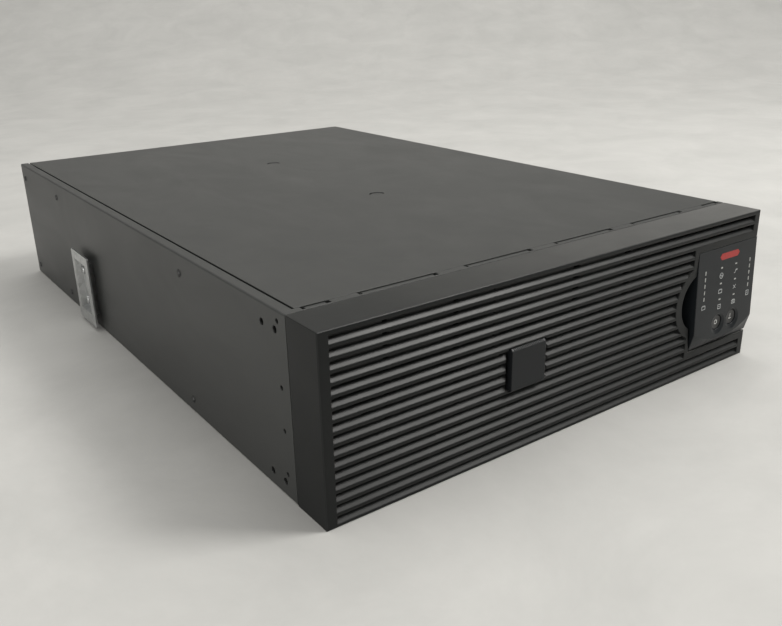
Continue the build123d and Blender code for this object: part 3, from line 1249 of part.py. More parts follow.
# ---- Every sub-part ------------------------------------------------------------------------------------
PARTS = {
    "chassis_pan": chassis_pan,
    "top_cover": top_cover,
    "front_frame": front_frame,
    "rear_panel": rear_panel,
    "side_rivets": side_rivets,
    "bay_side_wall": bay_side_wall,
    "bay_rear_wall": bay_rear_wall,
    "drawer_guides": drawer_guides,
    "battery_receptacles": battery_receptacles,
    "front_bezel": front_bezel,
    "badge": badge,
    "display_fascia": display_fascia,
    "status_lenses": status_lenses,
    "display_board": display_board,
    "display_socket": display_socket,
    "power_board": power_board,
    "charger_board": charger_board,
    "board_standoffs": board_standoffs,
    "heatsinks": heatsinks,
    "power_transistors": power_transistors,
    "bus_capacitors": bus_capacitors,
    "filter_inductors": filter_inductors,
    "charger_transformer": charger_transformer,
    "control_board": control_board,
    "ribbon_cable": ribbon_cable,
    "mains_filter": mains_filter,
    "fan_frames": fan_frames,
    "fan_guards": fan_guards,
    "locking_outlets": locking_outlets,
    "breaker_bodies": breaker_bodies,
    "terminal_block": terminal_block,
    "terminal_cover": terminal_cover,
    "card_slot_cover": card_slot_cover,
    "serial_port": serial_port,
    "remote_off_connector": remote_off_connector,
    "battery_port_cap": battery_port_cap,
    "ground_stud": ground_stud,
    "rear_screws": rear_screws,
    "rail_bracket_left": rail_bracket,
    "bracket_screws": bracket_screws,
}


def all_parts():
    shapes = {node: make() for node, make in PARTS.items()}
    shapes["rail_bracket_right"] = mirrored(shapes["rail_bracket_left"])
    for side in DRAWER_LEFT_EDGES:
        shapes[f"{side}_drawer_tray"] = drawer_tray(side)
        shapes[f"{side}_drawer_handle"] = drawer_handle(side)
        shapes[f"{side}_drawer_thumbscrews"] = drawer_thumbscrews(side)
        shapes[f"{side}_battery_blocks"] = battery_blocks(side)
        shapes[f"{side}_battery_terminals"] = battery_terminals(side)
        shapes[f"{side}_battery_plug"] = battery_plug(side)
    for node in BUTTON_CENTRES:
        shapes[node] = power_button(node)
    for side in FAN_CENTRES:
        shapes[f"fan_rotor_{side}"] = fan_rotor(side)
    for place in BREAKER_CENTRES:
        shapes[f"breaker_rocker_{place}"] = breaker_rocker(place)
    return shapes


os.makedirs("parts", exist_ok=True)
for node, shape in all_parts().items():
    export_step(shape, f"parts/{node}.step")
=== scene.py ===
"""Looks of a three-unit rack or tower UPS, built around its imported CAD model. Metres; the front faces -Y."""

import json
import math

import bmesh
import bpy
from mathutils import Matrix, Vector


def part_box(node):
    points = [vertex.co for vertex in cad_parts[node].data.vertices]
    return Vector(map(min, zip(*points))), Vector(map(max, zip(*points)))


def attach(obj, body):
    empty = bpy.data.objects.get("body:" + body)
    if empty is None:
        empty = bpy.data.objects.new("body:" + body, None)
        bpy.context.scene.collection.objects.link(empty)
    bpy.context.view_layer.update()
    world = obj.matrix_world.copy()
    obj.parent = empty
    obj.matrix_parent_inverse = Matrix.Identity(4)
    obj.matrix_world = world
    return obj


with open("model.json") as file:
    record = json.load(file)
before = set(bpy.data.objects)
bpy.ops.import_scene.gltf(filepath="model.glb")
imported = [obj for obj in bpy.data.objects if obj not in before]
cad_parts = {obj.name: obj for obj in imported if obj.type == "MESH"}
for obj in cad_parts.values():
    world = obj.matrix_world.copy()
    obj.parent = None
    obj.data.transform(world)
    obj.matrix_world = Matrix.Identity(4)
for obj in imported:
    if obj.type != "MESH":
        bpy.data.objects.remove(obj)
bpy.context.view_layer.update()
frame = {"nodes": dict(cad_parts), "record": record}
NODES = frame["nodes"]
SLOT_OF = {part["node"]: part["material_slot"] for part in frame["record"]["subparts"]}
MM = 0.001

# ---- Places read from the frame -----------------------------------------------------------------------------
FRONT_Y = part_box("front_bezel")[0].y
FACE_LOW, FACE_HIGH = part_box("display_fascia")
FACE_TILT_END_Z = 28 * MM
FACE_SLOPE = (FRONT_Y - FACE_LOW.y) / (FACE_HIGH.z - FACE_TILT_END_Z)


# ---- Camera, floor and light --------------------------------------------------------------------------------
CAMERA_PLACE = (-0.42421, -0.69157, 0.29977)
CAMERA_DEGREES = (-35.588, 20.932, -1.188)  # azimuth, elevation, roll
SENSOR_MM, LENS_MM = 36, 37.74
CLIP_START = 0.01

ROOM_LOW = (0.05, (0.1, 0.102, 0.1, 1))  # height on the world ramp, colour
ROOM_HIGH = (0.85, (0.8, 0.79, 0.76, 1))
ROOM_STRENGTH = 0.62
LIGHTS = {  # place, target, size, watts, colour
    "key": ((1.5, -1.3, 2.3), (0.05, 0, 0), (0.9, 0.9), 54, (1.0, 0.985, 0.95)),
    "top": ((1.1, 1.2, 4.0), (1.3, 1.5, 0), (4.6, 4.6), 96, (1.0, 0.99, 0.96)),
    "side": ((-3.0, -1.1, 0.9), (-0.2, -0.3, 0.05), (2.0, 1.2), 30, (1.0, 0.99, 0.96)),
}

FLOOR_FRONT, FLOOR_BACK = -4.0, 1.7
FLOOR_HALF_WIDTH = 7.0
SWEEP_RADIUS = 3.0
SWEEP_STEP_DEGREES, SWEEP_STEPS = 9, 10
FLOOR_TURN_DEGREES = -35.6
FLOOR_CREASE_DEGREES = 60


def make_camera():
    """Three-quarter view from the front left, a little above."""
    azimuth, elevation, roll = (math.radians(angle) for angle in CAMERA_DEGREES)
    back = Vector((
        math.sin(azimuth) * math.cos(elevation),
        -math.cos(azimuth) * math.cos(elevation),
        math.sin(elevation),
    ))
    right = Vector((0, 0, 1)).cross(back).normalized()
    up = back.cross(right)
    rolled_right = math.cos(roll) * right + math.sin(roll) * up
    rolled_up = math.cos(roll) * up - math.sin(roll) * right
    data = bpy.data.cameras.new("camera")
    data.sensor_width = SENSOR_MM
    data.lens = LENS_MM
    data.clip_start = CLIP_START
    camera = bpy.data.objects.new("camera", data)
    camera.matrix_world = Matrix.LocRotScale(
        Vector(CAMERA_PLACE),
        Matrix((rolled_right, rolled_up, back)).transposed(),
        None,
    )
    bpy.context.scene.collection.objects.link(camera)
    bpy.context.scene.camera = camera


def area_light(name, place, target, size, watts, colour):
    """A rectangular soft light at a place, turned to its target."""
    data = bpy.data.lights.new(name, "AREA")
    data.shape = "RECTANGLE"
    data.size, data.size_y = size
    data.energy = watts
    data.color = colour
    light = bpy.data.objects.new(name, data)
    light.location = place
    light.rotation_euler = (Vector(target) - Vector(place)).to_track_quat("-Z", "Y").to_euler()
    bpy.context.scene.collection.objects.link(light)


def make_lights():
    """A dim room with a bright ceiling, a key light ahead on the right, one overhead and one on the left."""
    world = bpy.data.worlds.new("room")
    world.use_nodes = True
    nodes, links = world.node_tree.nodes, world.node_tree.links
    split = nodes.new("ShaderNodeSeparateXYZ")
    ramp = nodes.new("ShaderNodeValToRGB")
    links.new(nodes.new("ShaderNodeTexCoord").outputs["Generated"], split.inputs["Vector"])
    links.new(split.outputs["Z"], ramp.inputs["Fac"])
    links.new(ramp.outputs["Color"], nodes["Background"].inputs["Color"])
    for stop, (position, colour) in zip(ramp.color_ramp.elements, (ROOM_LOW, ROOM_HIGH)):
        stop.position, stop.color = position, colour
    nodes["Background"].inputs["Strength"].default_value = ROOM_STRENGTH
    bpy.context.scene.world = world
    for name, settings in LIGHTS.items():
        area_light(name, *settings)


def make_floor():
    """Pale paper floor that sweeps up into a backdrop, square to the camera's line of sight."""
    bend = [math.radians(SWEEP_STEP_DEGREES * n) for n in range(1, SWEEP_STEPS + 1)]
    profile = [(FLOOR_FRONT, 0.0), (FLOOR_BACK, 0.0)]
    profile += [(FLOOR_BACK + SWEEP_RADIUS * math.sin(a), SWEEP_RADIUS - SWEEP_RADIUS * math.cos(a)) for a in bend]
    turn = Matrix.Rotation(math.radians(FLOOR_TURN_DEGREES), 3, "Z")
    sides = (-FLOOR_HALF_WIDTH, FLOOR_HALF_WIDTH)
    bm = bmesh.new()
    rows = [[bm.verts.new(turn @ Vector((x, y, z))) for y, z in profile] for x in sides]
    for n in range(len(profile) - 1):
        bm.faces.new((rows[0][n], rows[1][n], rows[1][n + 1], rows[0][n + 1]))
    floor = mesh_object("floor", bm, paper())
    shade(floor, FLOOR_CREASE_DEGREES)


# ---- Node materials -----------------------------------------------------------------------------------------
BEVEL_SAMPLES = 6
STEEL_EDGE_RADIUS = 0.6 * MM
PLASTIC_EDGE_RADIUS = 1.0 * MM
EDGE_SLANT = (0.03, 0.22)  # one minus the normal's largest component, where the edge mask starts and is full


def tinted(colour, factor, lift=0.0):
    """A lighter or darker version of a colour."""
    return tuple(min(1, c * factor + lift) for c in colour)


class Shader:
    """A Principled material with a few procedural helpers, in object coordinates (metres)."""

    def __init__(self, name):
        self.material = bpy.data.materials.new(name)
        self.material.use_nodes = True
        self.nodes = self.material.node_tree.nodes
        self.links = self.material.node_tree.links
        self.bsdf = self.nodes["Principled BSDF"]
        self.coords = self.nodes.new("ShaderNodeTexCoord").outputs["Object"]
        self.height = None

    def stretched(self, scale):
        """Object coordinates multiplied along each axis."""
        mapping = self.nodes.new("ShaderNodeMapping")
        mapping.inputs["Scale"].default_value = scale
        self.links.new(self.coords, mapping.inputs["Vector"])
        return mapping.outputs["Vector"]

    def noise(self, scale, detail=3.0, roughness=0.5, vector=None, distortion=0.0):
        node = self.nodes.new("ShaderNodeTexNoise")
        node.inputs["Scale"].default_value = scale
        node.inputs["Detail"].default_value = detail
        node.inputs["Roughness"].default_value = roughness
        node.inputs["Distortion"].default_value = distortion
        self.links.new(vector or self.coords, node.inputs["Vector"])
        return node.outputs["Fac"]

    def cells(self, scale):
        node = self.nodes.new("ShaderNodeTexVoronoi")
        node.inputs["Scale"].default_value = scale
        self.links.new(self.coords, node.inputs["Vector"])
        return node

    def ramp(self, value, low, high, low_colour=(0, 0, 0, 1), high_colour=(1, 1, 1, 1)):
        node = self.nodes.new("ShaderNodeValToRGB")
        node.color_ramp.elements[0].position = low
        node.color_ramp.elements[1].position = high
        node.color_ramp.elements[0].color = low_colour
        node.color_ramp.elements[1].color = high_colour
        self.links.new(value, node.inputs["Fac"])
        return node.outputs["Color"]

    def mix(self, factor, a, b):
        node = self.nodes.new("ShaderNodeMix")
        node.data_type = "RGBA"
        self.feed(node.inputs["Factor"], factor)
        self.feed(node.inputs["A"], a)
        self.feed(node.inputs["B"], b)
        return node.outputs["Result"]

    def maths(self, operation, a, b=0.0):
        node = self.nodes.new("ShaderNodeMath")
        node.operation = operation
        self.feed(node.inputs[0], a)
        self.feed(node.inputs[1], b)
        return node.outputs[0]

    def feed(self, socket, value):
        if isinstance(value, bpy.types.NodeSocket):
            self.links.new(value, socket)
        elif isinstance(value, tuple) and len(value) == 3:
            socket.default_value = (*value, 1)
        else:
            socket.default_value = value

    def between(self, value, low, high):
        """Maps 0 to 1 onto low to high."""
        node = self.nodes.new("ShaderNodeMapRange")
        node.inputs["To Min"].default_value = low
        node.inputs["To Max"].default_value = high
        self.links.new(value, node.inputs["Value"])
        return node.outputs["Result"]

    def bump(self, value, distance, strength=1.0):
        """Adds relief on top of any that is already there; distance in metres."""
        node = self.nodes.new("ShaderNodeBump")
        node.inputs["Distance"].default_value = distance
        node.inputs["Strength"].default_value = strength
        self.links.new(value, node.inputs["Height"])
        if self.height:
            self.links.new(self.height, node.inputs["Normal"])
        self.height = node.outputs["Normal"]
        self.links.new(self.height, self.bsdf.inputs["Normal"])

    def soften_edges(self, radius):
        """Shades sharp edges as if they had a small moulded radius, so that they catch the light."""
        node = self.nodes.new("ShaderNodeBevel")
        node.samples = BEVEL_SAMPLES
        node.inputs["Radius"].default_value = radius
        self.height = self.rounded = node.outputs["Normal"]
        self.links.new(self.height, self.bsdf.inputs["Normal"])

    def up_facing(self):
        """1 where the surface faces up, 0 on walls."""
        split = self.nodes.new("ShaderNodeSeparateXYZ")
        geometry = self.nodes.new("ShaderNodeNewGeometry")
        self.links.new(geometry.outputs["Normal"], split.inputs["Vector"])
        return self.maths("MAXIMUM", split.outputs["Z"], 0.0)

    def edges(self):
        """A mask of rounded edges and slanted lips: where the softened normal is far from every axis."""
        split = self.nodes.new("ShaderNodeSeparateXYZ")
        self.links.new(self.rounded, split.inputs["Vector"])
        x, y, z = (self.maths("ABSOLUTE", split.outputs[axis]) for axis in "XYZ")
        nearest = self.maths("MAXIMUM", self.maths("MAXIMUM", x, y), z)
        return self.ramp(self.maths("SUBTRACT", 1.0, nearest), *EDGE_SLANT)

    def set(self, socket, value):
        self.feed(self.bsdf.inputs[socket], value)


def paper():
    """Off-white backdrop paper with faint creases and mottling."""
    s = Shader("backdrop_paper")
    mottle = s.noise(6.5, 8, 0.68, distortion=0.4)
    s.set("Base Color", s.ramp(mottle, 0.34, 0.68, (0.49, 0.487, 0.472, 1), (0.562, 0.557, 0.54, 1)))
    s.set("Roughness", s.between(s.noise(18, 2), 0.75, 0.9))
    s.bump(s.noise(34, 5, 0.55), 0.001, 0.35)
    return s.material


def painted_steel(name, colour, roughness=0.42, grain=0.00004, dust=0.05):
    """Satin black powder coat: fine orange peel, faint handling smudges, dust on upward faces, and paler edges
    that are partly rubbed paint and partly a painted highlight.
    """
    s = Shader(name)
    s.soften_edges(STEEL_EDGE_RADIUS)
    wide = s.noise(7, 5, 0.6, distortion=0.6)
    tone = s.ramp(wide, 0.3, 0.75, (*colour, 1), (*tinted(colour, 1.22), 1))
    specks = s.ramp(s.noise(950, 2, 0.7), 0.66, 0.74)
    haze = s.ramp(s.noise(26, 6, 0.7), 0.45, 0.85)
    dusting = s.maths("MULTIPLY", s.maths("MULTIPLY", haze, s.up_facing()), dust)
    tone = s.mix(dusting, tone, (0.32, 0.31, 0.29))
    tone = s.mix(s.maths("MULTIPLY", specks, dust), tone, (0.5, 0.49, 0.47))
    # Paler edges: partly rubbed paint, partly a painted highlight where the light catches them.
    rubbed_and_highlight = s.maths("MULTIPLY", s.edges(), s.between(s.noise(90, 4), 0.0, 0.3))
    tone = s.mix(rubbed_and_highlight, tone, (0.16, 0.165, 0.165))
    s.set("Base Color", tone)
    smudges = s.noise(15, 4, 0.55, s.stretched((1, 0.45, 1)), 1.2)
    s.set("Roughness", s.between(smudges, roughness - 0.07, roughness + 0.07))
    s.set("Specular IOR Level", 0.5)
    s.bump(s.noise(1400, 2, 0.5), grain)
    s.bump(s.noise(60, 2, 0.5), 0.00006, 0.5)
    return s.material


def moulded_plastic(name, colour, roughness=0.5, grain=0.00003, scuffs=0.12, shine=0.5, top_dust_and_sheen=0.0):
    """Injection-moulded plastic: spark texture, soft scuffs, paler edges that are partly wear and partly a painted
    highlight, and on top dust mixed with a painted sheen that grows towards the right.
    """
    s = Shader(name)
    s.soften_edges(PLASTIC_EDGE_RADIUS)
    tone = s.ramp(s.noise(11, 4, 0.6), 0.3, 0.75, (*colour, 1), (*tinted(colour, 1.18), 1))
    rubs = s.ramp(s.noise(48, 6, 0.75, s.stretched((0.35, 1, 1)), 2.0), 0.62, 0.86)
    rubs = s.maths("MULTIPLY", s.maths("MULTIPLY", rubs, s.up_facing()), scuffs)
    tone = s.mix(rubs, tone, tinted(colour, 3.2, 0.02))
    edges = s.edges()
    # Paler edges and slanted lips: partly wear, partly a painted highlight where the light catches them.
    wear_and_highlight = s.maths("MULTIPLY", edges, s.between(s.noise(130, 4), 0.0, 0.2))
    tone = s.mix(wear_and_highlight, tone, tinted(colour, 2.2, 0.04))
    # Dust on upward faces together with a painted sheen: the top is made lighter towards the right, where the
    # light falls on it.
    if top_dust_and_sheen:
        split = s.nodes.new("ShaderNodeSeparateXYZ")
        s.links.new(s.coords, split.inputs["Vector"])
        rightward = s.maths("ADD", s.maths("MULTIPLY", split.outputs["X"], 2.4), 0.5)
        level = s.maths("MULTIPLY", s.maths("POWER", s.up_facing(), 6.0), s.maths("MAXIMUM", rightward, 0.08))
        patchy = s.between(s.noise(38, 5, 0.65, s.stretched((0.5, 1, 1))), 0.6, 1.4)
        dust_and_sheen = s.maths("MULTIPLY", s.maths("MULTIPLY", level, patchy), top_dust_and_sheen)
        tone = s.mix(dust_and_sheen, tone, (0.9, 0.89, 0.86))
    s.set("Base Color", tone)
    polish = s.maths("MULTIPLY", edges, 0.04)
    uneven = s.between(s.noise(30, 3), roughness - 0.05, roughness + 0.07)
    s.set("Roughness", s.maths("SUBTRACT", uneven, polish))
    s.set("Specular IOR Level", s.maths("ADD", s.maths("MULTIPLY", edges, 0.08), shine))
    s.bump(s.noise(2300, 1.5, 0.5), grain)
    return s.material


def zinc_plate(name, colour=(0.62, 0.63, 0.63), roughness=0.32, paint_and_shade_to=None):
    """Bright zinc over steel: soft spangle, fine rolling lines; near black in front of a Y, if given, as black
    paint that also stands in for the shade behind the louvres.
    """
    s = Shader(name)
    spangle = s.cells(260).outputs["Color"]
    grey = s.nodes.new("ShaderNodeRGBToBW")
    s.links.new(spangle, grey.inputs["Color"])
    tone = s.ramp(grey.outputs["Val"], 0.1, 0.9, (*tinted(colour, 0.78), 1), (*colour, 1))
    metal = 1.0
    if paint_and_shade_to is not None:
        split = s.nodes.new("ShaderNodeSeparateXYZ")
        s.links.new(s.coords, split.inputs["Vector"])
        metal = s.maths("GREATER_THAN", split.outputs["Y"], paint_and_shade_to)
        # Near-black front: black paint, dark enough to also stand in for the shade seen through the louvres.
        tone = s.mix(metal, (0.006, 0.006, 0.006), tone)
    s.set("Base Color", tone)
    s.set("Metallic", metal)
    lines = s.noise(160, 3, 0.6, s.stretched((1, 22, 1)))
    s.set("Roughness", s.between(lines, roughness - 0.08, roughness + 0.14))
    s.bump(lines, 0.00002, 0.6)
    return s.material


def bare_metal(name, colour, roughness):
    """Machined or drawn metal with short scratches and faint tarnish."""
    s = Shader(name)
    tarnish = s.ramp(s.noise(75, 5, 0.65), 0.4, 0.8, (*colour, 1), (*tinted(colour, 0.66), 1))
    s.set("Base Color", tarnish)
    s.set("Metallic", 1.0)
    scratches = s.noise(900, 3, 0.6, s.stretched((0.15, 1, 1)))
    s.set("Roughness", s.between(scratches, roughness - 0.06, roughness + 0.1))
    s.bump(scratches, 0.000012, 0.7)
    return s.material


def circuit_board_material():
    """Solder mask over copper: broad pours, fine tracks and tinned pads."""
    s = Shader("circuit_board")
    pours = s.cells(75)
    pours.distance = "MANHATTAN"
    tracks = s.cells(420)
    tracks.distance = "MANHATTAN"
    mask = s.ramp(pours.outputs["Distance"], 0.25, 0.32, (0.012, 0.12, 0.045, 1), (0.02, 0.17, 0.065, 1))
    pads = s.ramp(tracks.outputs["Distance"], 0.1, 0.14, (1, 1, 1, 1), (0, 0, 0, 1))
    s.set("Base Color", s.mix(pads, mask, (0.62, 0.62, 0.58)))
    s.set("Roughness", s.between(s.noise(40), 0.25, 0.4))
    s.bump(tracks.outputs["Distance"], 0.00003, 0.5)
    return s.material


def ink(name, colour, roughness=0.55):
    """Printed legend, slightly uneven in density."""
    s = Shader(name)
    s.set("Base Color", s.ramp(s.noise(700, 3, 0.6), 0.35, 0.65, (*tinted(colour, 0.8), 1), (*colour, 1)))
    s.set("Roughness", s.between(s.noise(300), roughness - 0.05, roughness + 0.1))
    s.bump(s.noise(1800, 2), 0.00001)
    return s.material


def lens_material():
    """Frosted light pipe, unlit."""
    s = Shader("lens_plastic")
    s.set("Base Color", s.ramp(s.noise(500, 2), 0.3, 0.7, (0.36, 0.37, 0.36, 1), (0.5, 0.51, 0.49, 1)))
    s.set("Roughness", s.between(s.noise(220), 0.28, 0.42))
    s.bump(s.noise(1500, 2), 0.00001)
    return s.material


def winding_material():
    """Enamelled copper wire wound closely round a ring core."""
    s = Shader("winding_enamel")
    bands = s.noise(420, 1.5, 0.4, s.stretched((1, 1, 5)))
    s.set("Base Color", s.ramp(bands, 0.38, 0.6, (0.24, 0.07, 0.02, 1), (0.72, 0.33, 0.12, 1)))
    s.set("Metallic", s.between(bands, 0.3, 0.8))
    s.set("Roughness", s.between(s.noise(200), 0.25, 0.4))
    s.bump(bands, 0.0002)
    return s.material


PAINT_AND_SHADE_FRONT_Y = -0.29  # the drawer trays are near black in front of this: black paint that also stands in for the shade behind the louvres
MATERIALS = {
    "case_steel": painted_steel("case_steel", (0.027, 0.0282, 0.0272)),
    "dark_rivets": painted_steel("dark_rivets", (0.016, 0.016, 0.016), dust=0.02),
    "bezel_plastic": moulded_plastic("bezel_plastic", (0.008, 0.0088, 0.0088), 0.4, shine=0.22, top_dust_and_sheen=0.1),
    "badge_plastic": moulded_plastic("badge_plastic", (0.01, 0.0112, 0.0125), 0.4, shine=0.26),
    "display_plastic": moulded_plastic("display_plastic", (0.009, 0.011, 0.0128), 0.4, shine=0.28),
    "lens_plastic": lens_material(),
    "zinc_steel": zinc_plate("zinc_steel"),
    "runner_plastic": moulded_plastic("runner_plastic", (0.62, 0.61, 0.56), 0.5),
    "handle_plastic": moulded_plastic("handle_plastic", (0.006, 0.006, 0.006), 0.55),
    "battery_case": moulded_plastic("battery_case", (0.1, 0.105, 0.11), 0.55),
    "terminal_metal": bare_metal("terminal_metal", (0.78, 0.7, 0.52), 0.34),
    "connector_plastic": moulded_plastic("connector_plastic", (0.016, 0.016, 0.017), 0.38),
    "rocker_plastic": moulded_plastic("rocker_plastic", (0.012, 0.012, 0.012), 0.25),
    "circuit_board": circuit_board_material(),
    "standoff_brass": bare_metal("standoff_brass", (0.72, 0.55, 0.27), 0.33),
    "heatsink_aluminium": bare_metal("heatsink_aluminium", (0.68, 0.69, 0.7), 0.38),
    "chip_epoxy": moulded_plastic("chip_epoxy", (0.012, 0.012, 0.013), 0.6),
    "capacitor_sleeve": moulded_plastic("capacitor_sleeve", (0.01, 0.016, 0.06), 0.25),
    "winding_enamel": winding_material(),
    "ferrite": moulded_plastic("ferrite", (0.04, 0.04, 0.043), 0.6),
    "ribbon_plastic": moulded_plastic("ribbon_plastic", (0.42, 0.42, 0.43), 0.45),
    "serial_metal": bare_metal("serial_metal", (0.66, 0.66, 0.65), 0.3),
    "plug_green": moulded_plastic("plug_green", (0.02, 0.22, 0.07), 0.42),
}
TRAY_STEEL = zinc_plate("tray_steel", paint_and_shade_to=PAINT_AND_SHADE_FRONT_Y)
BUTTON_BLACK = moulded_plastic("button_black", (0.004, 0.0042, 0.0044), 0.3)
WIRE_RED = moulded_plastic("wire_red", (0.36, 0.016, 0.012), 0.42)
WIRE_BLACK = moulded_plastic("wire_black", (0.012, 0.012, 0.012), 0.42)
LABEL_SILVER = bare_metal("label_silver", (0.5, 0.51, 0.52), 0.42)
WHITE_INK = ink("white_ink", (0.85, 0.85, 0.83), 0.45)
PALE_INK = ink("pale_ink", (0.5, 0.52, 0.52))
RED_INK = ink("red_ink", (0.42, 0.03, 0.026), 0.45)


# ---- Mesh helpers -------------------------------------------------------------------------------------------
CREASE_DEGREES = 40


def mesh_object(name, bm, material):
    """Turns a bmesh into an object in the scene, and frees it."""
    mesh = bpy.data.meshes.new(name)
    bm.normal_update()
    bm.to_mesh(mesh)
    bm.free()
    piece = bpy.data.objects.new(name, mesh)
    piece.data.materials.append(material)
    bpy.context.scene.collection.objects.link(piece)
    return piece


def shade(piece, degrees):
    """Smooth shading that keeps edges sharper than an angle."""
    piece.data.shade_smooth()
    piece.data.set_sharp_from_angle(angle=math.radians(degrees))


def settle(piece, body):
    """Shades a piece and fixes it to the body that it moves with."""
    shade(piece, CREASE_DEGREES)
    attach(piece, body)


# ---- Finish of the CAD nodes --------------------------------------------------------------------------------
def dress_cad_nodes():
    """Gives each CAD node its own material, or else the one of its material slot."""
    own = {node: TRAY_STEEL for node in NODES if node.endswith("drawer_tray")}
    own |= {node: BUTTON_BLACK for node in ("power_on_button", "power_off_button")}
    for node, piece in NODES.items():
        piece.data.materials.clear()
        piece.data.materials.append(own.get(node, MATERIALS[SLOT_OF[node]]))


# ---- Printed legends ----------------------------------------------------------------------------------------
INK_LIFTS = (0.02 * MM, 0.07 * MM)  # bottom and top of an ink line above its surface
MARK_LIFTS = (0.02 * MM, 0.09 * MM)
MITRE_LIMIT = 0.4
ICON_STROKE = 0.55 * MM
SIGN_STROKE = 0.6 * MM
MARK_MIDDLE = (178, 98.6)
MARK_OUTLINE = [(-13.5, 0), (-11, 2.7), (11, 2.7), (13.5, 0), (11, -2.7), (-11, -2.7)]


def face_point(x, z, lift):
    """A point in front of the display's tilted face; x and z in metres."""
    return Vector((x, FRONT_Y - FACE_SLOPE * (FACE_HIGH.z - z) - lift, z))


def ribbon(bm, points, width, place, closed=False):
    """A mitred line of ink along 2-D points; place(x, z, lift) puts a point of it on the surface."""
    count = len(points)
    sides = []
    for n, point in enumerate(points):
        here = Vector(point)
        before = Vector(points[n - 1]) if n or closed else None
        after = Vector(points[(n + 1) % count]) if n < count - 1 or closed else None
        first = (here - before).normalized() if before is not None else (after - here).normalized()
        second = (after - here).normalized() if after is not None else first
        normal = Vector((-first.y - second.y, first.x + second.x))
        normal = normal.normalized() / max(MITRE_LIMIT, math.cos(first.angle(second, 0) / 2))
        sides.append((here + normal * width / 2, here - normal * width / 2))
    low, high = (
        [[bm.verts.new(place(*corner, lift)) for corner in pair] for pair in sides] for lift in INK_LIFTS
    )
    for n in range(count if closed else count - 1):
        m = (n + 1) % count
        bm.faces.new((high[n][0], high[m][0], high[m][1], high[n][1]))
        bm.faces.new((low[n][1], low[m][1], low[m][0], low[n][0]))
        bm.faces.new((low[n][0], low[m][0], high[m][0], high[n][0]))
        bm.faces.new((high[n][1], high[m][1], low[m][1], low[n][1]))
    if not closed:
        for n in (0, count - 1):
            bm.faces.new((low[n][0], high[n][0], high[n][1], low[n][1]))


def circle_points(radius, count=20, centre=(0, 0), start=0, span=360):
    """Points round a circle, or along an arc of it with both ends; degrees."""
    steps = count if span == 360 else count + 1
    return [
        (centre[0] + radius * math.cos(math.radians(start + span * n / count)),
         centre[1] + radius * math.sin(math.radians(start + span * n / count)))
        for n in range(steps)
    ]


# Each icon is a list of (points in mm about its centre, closed).
WAVE = [(-1.6 + 0.32 * n, 0.8 * math.sin(math.radians(36 * n))) for n in range(11)]
BATTERY = [
    ([(-2.2, -1.4), (2.2, -1.4), (2.2, 1.4), (-2.2, 1.4)], True),
    ([(-1.2, 1.9), (-0.4, 1.9)], False),
    ([(0.4, 1.9), (1.2, 1.9)], False),
]
CROSS = [([(-1.6, -1.6), (1.6, 1.6)], False), ([(-1.6, 1.6), (1.6, -1.6)], False)]
ICONS = {
    "mains": [(circle_points(2.2), True), (WAVE, False)],
    "on_battery": BATTERY,
    "load": [([(-1.8, -1.8), (1.8, -1.8), (1.8, 1.8), (-1.8, 1.8)], True), ([(-0.7, 0), (0.7, 0)], False)],
    "bypass": [
        ([(-2.2, -1.2), (-0.8, -1.2), (0.4, 1.2), (2.2, 1.2)], False),
        ([(1.3, 2.0), (2.3, 1.2), (1.3, 0.4)], False),
    ],
    "fault": CROSS,
    "battery_fault": BATTERY + [([(-1.0, -0.7), (1.0, 0.7)], False), ([(-1.0, 0.7), (1.0, -0.7)], False)],
    "charge_bar": BATTERY,
    "load_bar": [([(-1.7, -2.0), (1.7, -2.0), (1.7, 2.0), (-1.7, 2.0)], True), ([(0, -0.8), (0, 0.8)], False)],
}
ICON_PLACES = {  # x and z in mm
    "mains": (168, 82.7),
    "on_battery": (168, 69.2),
    "load": (168, 56.0),
    "bypass": (188, 82.7),
    "fault": (188, 69.2),
    "battery_fault": (188, 56.0),
    "charge_bar": (146, 59.6),
    "load_bar": (208, 59.6),
}


def make_legends():
    """Pale printed icons beside the lamps, and a plain red mark above them."""
    for icon, (x, z) in ICON_PLACES.items():
        bm = bmesh.new()
        for points, closed in ICONS[icon]:
            placed = [((x + a) * MM, (z + b) * MM) for a, b in points]
            ribbon(bm, placed, ICON_STROKE, face_point, closed)
        settle(mesh_object(f"legend_{icon}", bm, PALE_INK), "display_module")
    bm = bmesh.new()
    x, z = MARK_MIDDLE
    low, high = (
        [bm.verts.new(face_point((x + a) * MM, (z + b) * MM, lift)) for a, b in MARK_OUTLINE]
        for lift in MARK_LIFTS
    )
    for ring in (low, high):
        bm.faces.new(ring)
    for n in range(len(MARK_OUTLINE)):
        m = (n + 1) % len(MARK_OUTLINE)
        bm.faces.new((low[n], low[m], high[m], high[n]))
    finished("display_mark", bm, RED_INK, "display_module")


CAP_HOLLOW, CAP_HOLLOW_RADIUS = 0.5 * MM, 32 * MM
TEST_WAVE = [(-1.6, -1.8), (-0.6, -1.1), (0.4, -1.8), (1.6, -1.1)]
BUTTON_SIGNS = {
    "power_off_button": ("off_button", [(circle_points(1.7), True)]),
    "power_on_button": ("on_button", [([(0, -0.2), (0, 2.6)], False), (TEST_WAVE, False)]),
}


